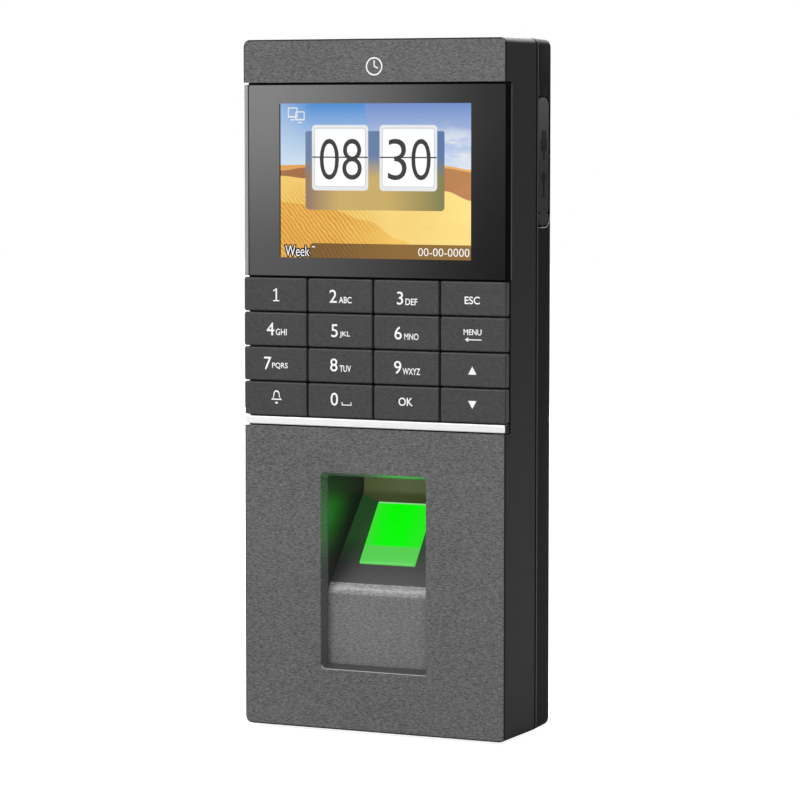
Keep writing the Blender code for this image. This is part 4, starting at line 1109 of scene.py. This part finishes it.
raised(
    "cover_plug_mark",
    [
        bar(25.2, 29.0, 162.0, 165.4),
        bar(25.9, 26.5, 165.5, 167.6),
        bar(27.7, 28.3, 165.5, 167.6),
        bar(26.8, 27.4, 159.6, 161.9),
    ],
    "usb_cover",
)
raised(
    "cover_second_mark",
    [ellipse(27.1, 154.6, 1.5, 1.5, 20), bar(26.8, 27.4, 149.8, 153.0), bar(26.0, 28.2, 149.2, 149.7)],
    "usb_cover",
)

# thin rounded lip along the lower end of the port bay, pale as a painted highlight
LIP_RADIUS, LIP_BEND = 0.14, 3.4
lip_line = [(22.7, 140.72), (28.3, 140.72)]
for turn in (math.radians(step) for step in range(15, 91, 15)):
    lip_line.append((28.3 + LIP_BEND * math.sin(turn), 144.12 - LIP_BEND * math.cos(turn)))
lip_x = COVER_FACE - 0.06 * MM
lip_rings = []
for depth, height in lip_line:
    lip_rings.append(
        [
            (
                lip_x + LIP_RADIUS * MM * math.cos(a),
                deep(depth),
                high(height) + LIP_RADIUS * MM * math.sin(a),
            )
            for a in (math.radians(45 * step) for step in range(8))
        ]
    )
lip = add("bay_lip_highlight", *skin(lip_rings), MATERIALS["edge_highlight"], "terminal", "casing_black")
outward(lip.data)
smooth_by_angle(lip.data, 60)

# rubber web that joins the cover to its strap
web_rings = []
web_low, web_top, web_steps = 143.4, 146.4, 16
for step in range(web_steps + 1):
    height = high(web_low + (web_top - web_low) * step / web_steps)
    web_rings.append(
        [
            (x, y, height)
            for x, y in (
                (COVER_FACE - 0.06 * MM, deep(24.4)),
                (COVER_FACE - 0.02 * MM, deep(24.8)),
                (COVER_FACE - 0.02 * MM, deep(29.4)),
                (COVER_FACE - 0.06 * MM, deep(29.8)),
                (COVER_FACE - 0.7 * MM, deep(29.8)),
                (COVER_FACE - 0.7 * MM, deep(24.4)),
            )
        ]
    )
web = add("cover_web", *skin(web_rings), MATERIALS["cover_rubber"], None, "cover_rubber")
outward(web.data)
smooth_by_angle(web.data)
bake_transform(web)

# ---------------------------------------------------------------- finishes of the other CAD nodes
MATERIALS["display_glass"] = moulded("display_glass", (0.006, 0.006, 0.008), 0.1, 0.4, 0.0)
shown_by_piece = {n for o in bpy.data.objects for n in o.get("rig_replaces", [])}
for node in sorted(set(NODES) - shown_by_piece):
    mesh = NODES[node].data
    mesh.materials.clear()
    mesh.materials.append(MATERIALS[slot_of(node)])

# ---------------------------------------------------------------- room
FLOOR = high(-0.6)


def room_piece(name, verts, faces, material):
    mesh = bpy.data.meshes.new(name)
    mesh.from_pydata(verts, [], faces)
    mesh.materials.append(material)
    piece = bpy.data.objects.new(name, mesh)
    bpy.context.scene.collection.objects.link(piece)
    return piece


def floor_material():
    """Pale backdrop paper, with an even glow that only the camera sees."""
    s = Shader("floor", (0.5, 0.5, 0.5), 0.8)
    s.colour_by(s.noise((0.01, 0.01, 0.01)), (0.48, 0.48, 0.48), (0.52, 0.52, 0.52))
    s.set("Emission Color", (0.9, 0.9, 0.9, 1))
    s.link(s.node("LightPath").outputs["Is Camera Ray"], s.principled.inputs["Emission Strength"])
    return s.material


FLOOR_HALF = 3.0
room_piece(
    "floor",
    [(x * FLOOR_HALF, y * FLOOR_HALF, FLOOR) for x, y in ((-1, -1), (1, -1), (1, 1), (-1, 1))],
    [(0, 1, 2, 3)],
    floor_material(),
)

world = bpy.data.worlds.new("studio")
bpy.context.scene.world = world
world.use_nodes = True
tree = world.node_tree
background = tree.nodes["Background"]
path = tree.nodes.new("ShaderNodeLightPath")
level = tree.nodes.new("ShaderNodeMix")
level.data_type = "RGBA"
level.inputs[6].default_value = (0.33, 0.33, 0.34, 1)
level.inputs[7].default_value = (1, 1, 1, 1)
tree.links.new(path.outputs["Is Camera Ray"], level.inputs["Factor"])
tree.links.new(level.outputs[2], background.inputs["Color"])


def soft_light(name, place, target, width, height, power):
    lamp = bpy.data.lights.new(name, "AREA")
    lamp.shape = "RECTANGLE"
    lamp.size, lamp.size_y, lamp.energy = width, height, power
    holder = bpy.data.objects.new(name, lamp)
    bpy.context.scene.collection.objects.link(holder)
    holder.location = place
    holder.rotation_euler = (Vector(target) - Vector(place)).to_track_quat("-Z", "Y").to_euler()
    return holder


soft_light("top_light", (0.0, -0.3, 1.1), (0, 0, 0), 1.2, 0.7, 10)
soft_light("front_light", (-0.49, -0.9, 0.6), (0, 0, -0.03), 0.5, 0.16, 5)
soft_light("fill_light", (0.3, -0.52, -0.02), (0.02, 0, -0.06), 0.3, 0.12, 0.42)
soft_light("back_light", (-0.1, 1.2, 0.52), (0, 0, 0.05), 0.7, 0.35, 5.5)
soft_light("rear_light", (-0.5, 0.95, 0.04), (0, 0, 0), 0.6, 0.6, 12)
glow = bpy.data.lights.new("finger_light", "AREA")
glow.shape = "RECTANGLE"
glow.size, glow.size_y, glow.energy = 14 * MM, 16 * MM, 0.0022
glow.color = (0.04, 1.0, 0.05)
glow_holder = bpy.data.objects.new("finger_light", glow)
bpy.context.scene.collection.objects.link(glow_holder)
glow_holder.location = (0, deep(14.5), high(56.5))
glow_holder.rotation_euler = Vector((0, -0.77, 0.64)).to_track_quat("-Z", "Y").to_euler()


SOFTBOX_POWER = 5.6
SOFTBOX_X, SOFTBOX_Y, SOFTBOX_Z = (-0.62, -0.36), -1.1, (-0.08, 0.16)


def softbox_material():
    """Gradient that is brightest at its left and upper sides."""
    material = bpy.data.materials.new("softbox")
    material.use_nodes = True
    tree = material.node_tree
    tree.nodes.clear()
    output = tree.nodes.new("ShaderNodeOutputMaterial")
    emission = tree.nodes.new("ShaderNodeEmission")
    place = tree.nodes.new("ShaderNodeTexCoord")
    split = tree.nodes.new("ShaderNodeSeparateXYZ")
    tree.links.new(place.outputs["Object"], split.inputs[0])
    across = tree.nodes.new("ShaderNodeMapRange")
    upward = tree.nodes.new("ShaderNodeMapRange")
    for ramp, output_name, low, high_end, least in (
        (across, "X", -0.4, -0.575, 0.13),
        (upward, "Z", -0.022, 0.099, 0.42),
    ):
        ramp.interpolation_type = "SMOOTHSTEP"
        tree.links.new(split.outputs[output_name], ramp.inputs["Value"])
        for i, number in enumerate((low, high_end, least, 1.0), 1):
            ramp.inputs[i].default_value = number
    level = tree.nodes.new("ShaderNodeMath")
    level.operation = "MULTIPLY"
    tree.links.new(across.outputs[0], level.inputs[0])
    tree.links.new(upward.outputs[0], level.inputs[1])
    power = tree.nodes.new("ShaderNodeMath")
    power.operation = "MULTIPLY"
    power.inputs[1].default_value = SOFTBOX_POWER
    tree.links.new(level.outputs[0], power.inputs[0])
    tree.links.new(power.outputs[0], emission.inputs["Strength"])
    tree.links.new(emission.outputs[0], output.inputs["Surface"])
    return material


softbox = room_piece(
    "softbox",
    [(SOFTBOX_X[i], SOFTBOX_Y, SOFTBOX_Z[j]) for i, j in ((0, 0), (0, 1), (1, 1), (1, 0))],
    [(0, 1, 2, 3)],
    softbox_material(),
)
softbox.visible_camera = False

# ---------------------------------------------------------------- camera
LENS, CAMERA_TURN, CAMERA_DIP = 151.98, 24.311, 4.629  # millimetres, degrees
camera_data = bpy.data.cameras.new("camera")
camera_data.sensor_width = 36
camera_data.lens = LENS
camera_data.clip_start = 0.05
camera = bpy.data.objects.new("camera", camera_data)
bpy.context.scene.collection.objects.link(camera)
camera.location = (0.39045, -0.87994, 0.07222)
turn, dip = math.radians(CAMERA_TURN), math.radians(CAMERA_DIP)
looking = Vector((-math.sin(turn) * math.cos(dip), math.cos(turn) * math.cos(dip), -math.sin(dip)))
camera.rotation_euler = looking.to_track_quat("-Z", "Y").to_euler()
bpy.context.scene.camera = camera
bpy.context.scene.view_settings.view_transform = "Standard"
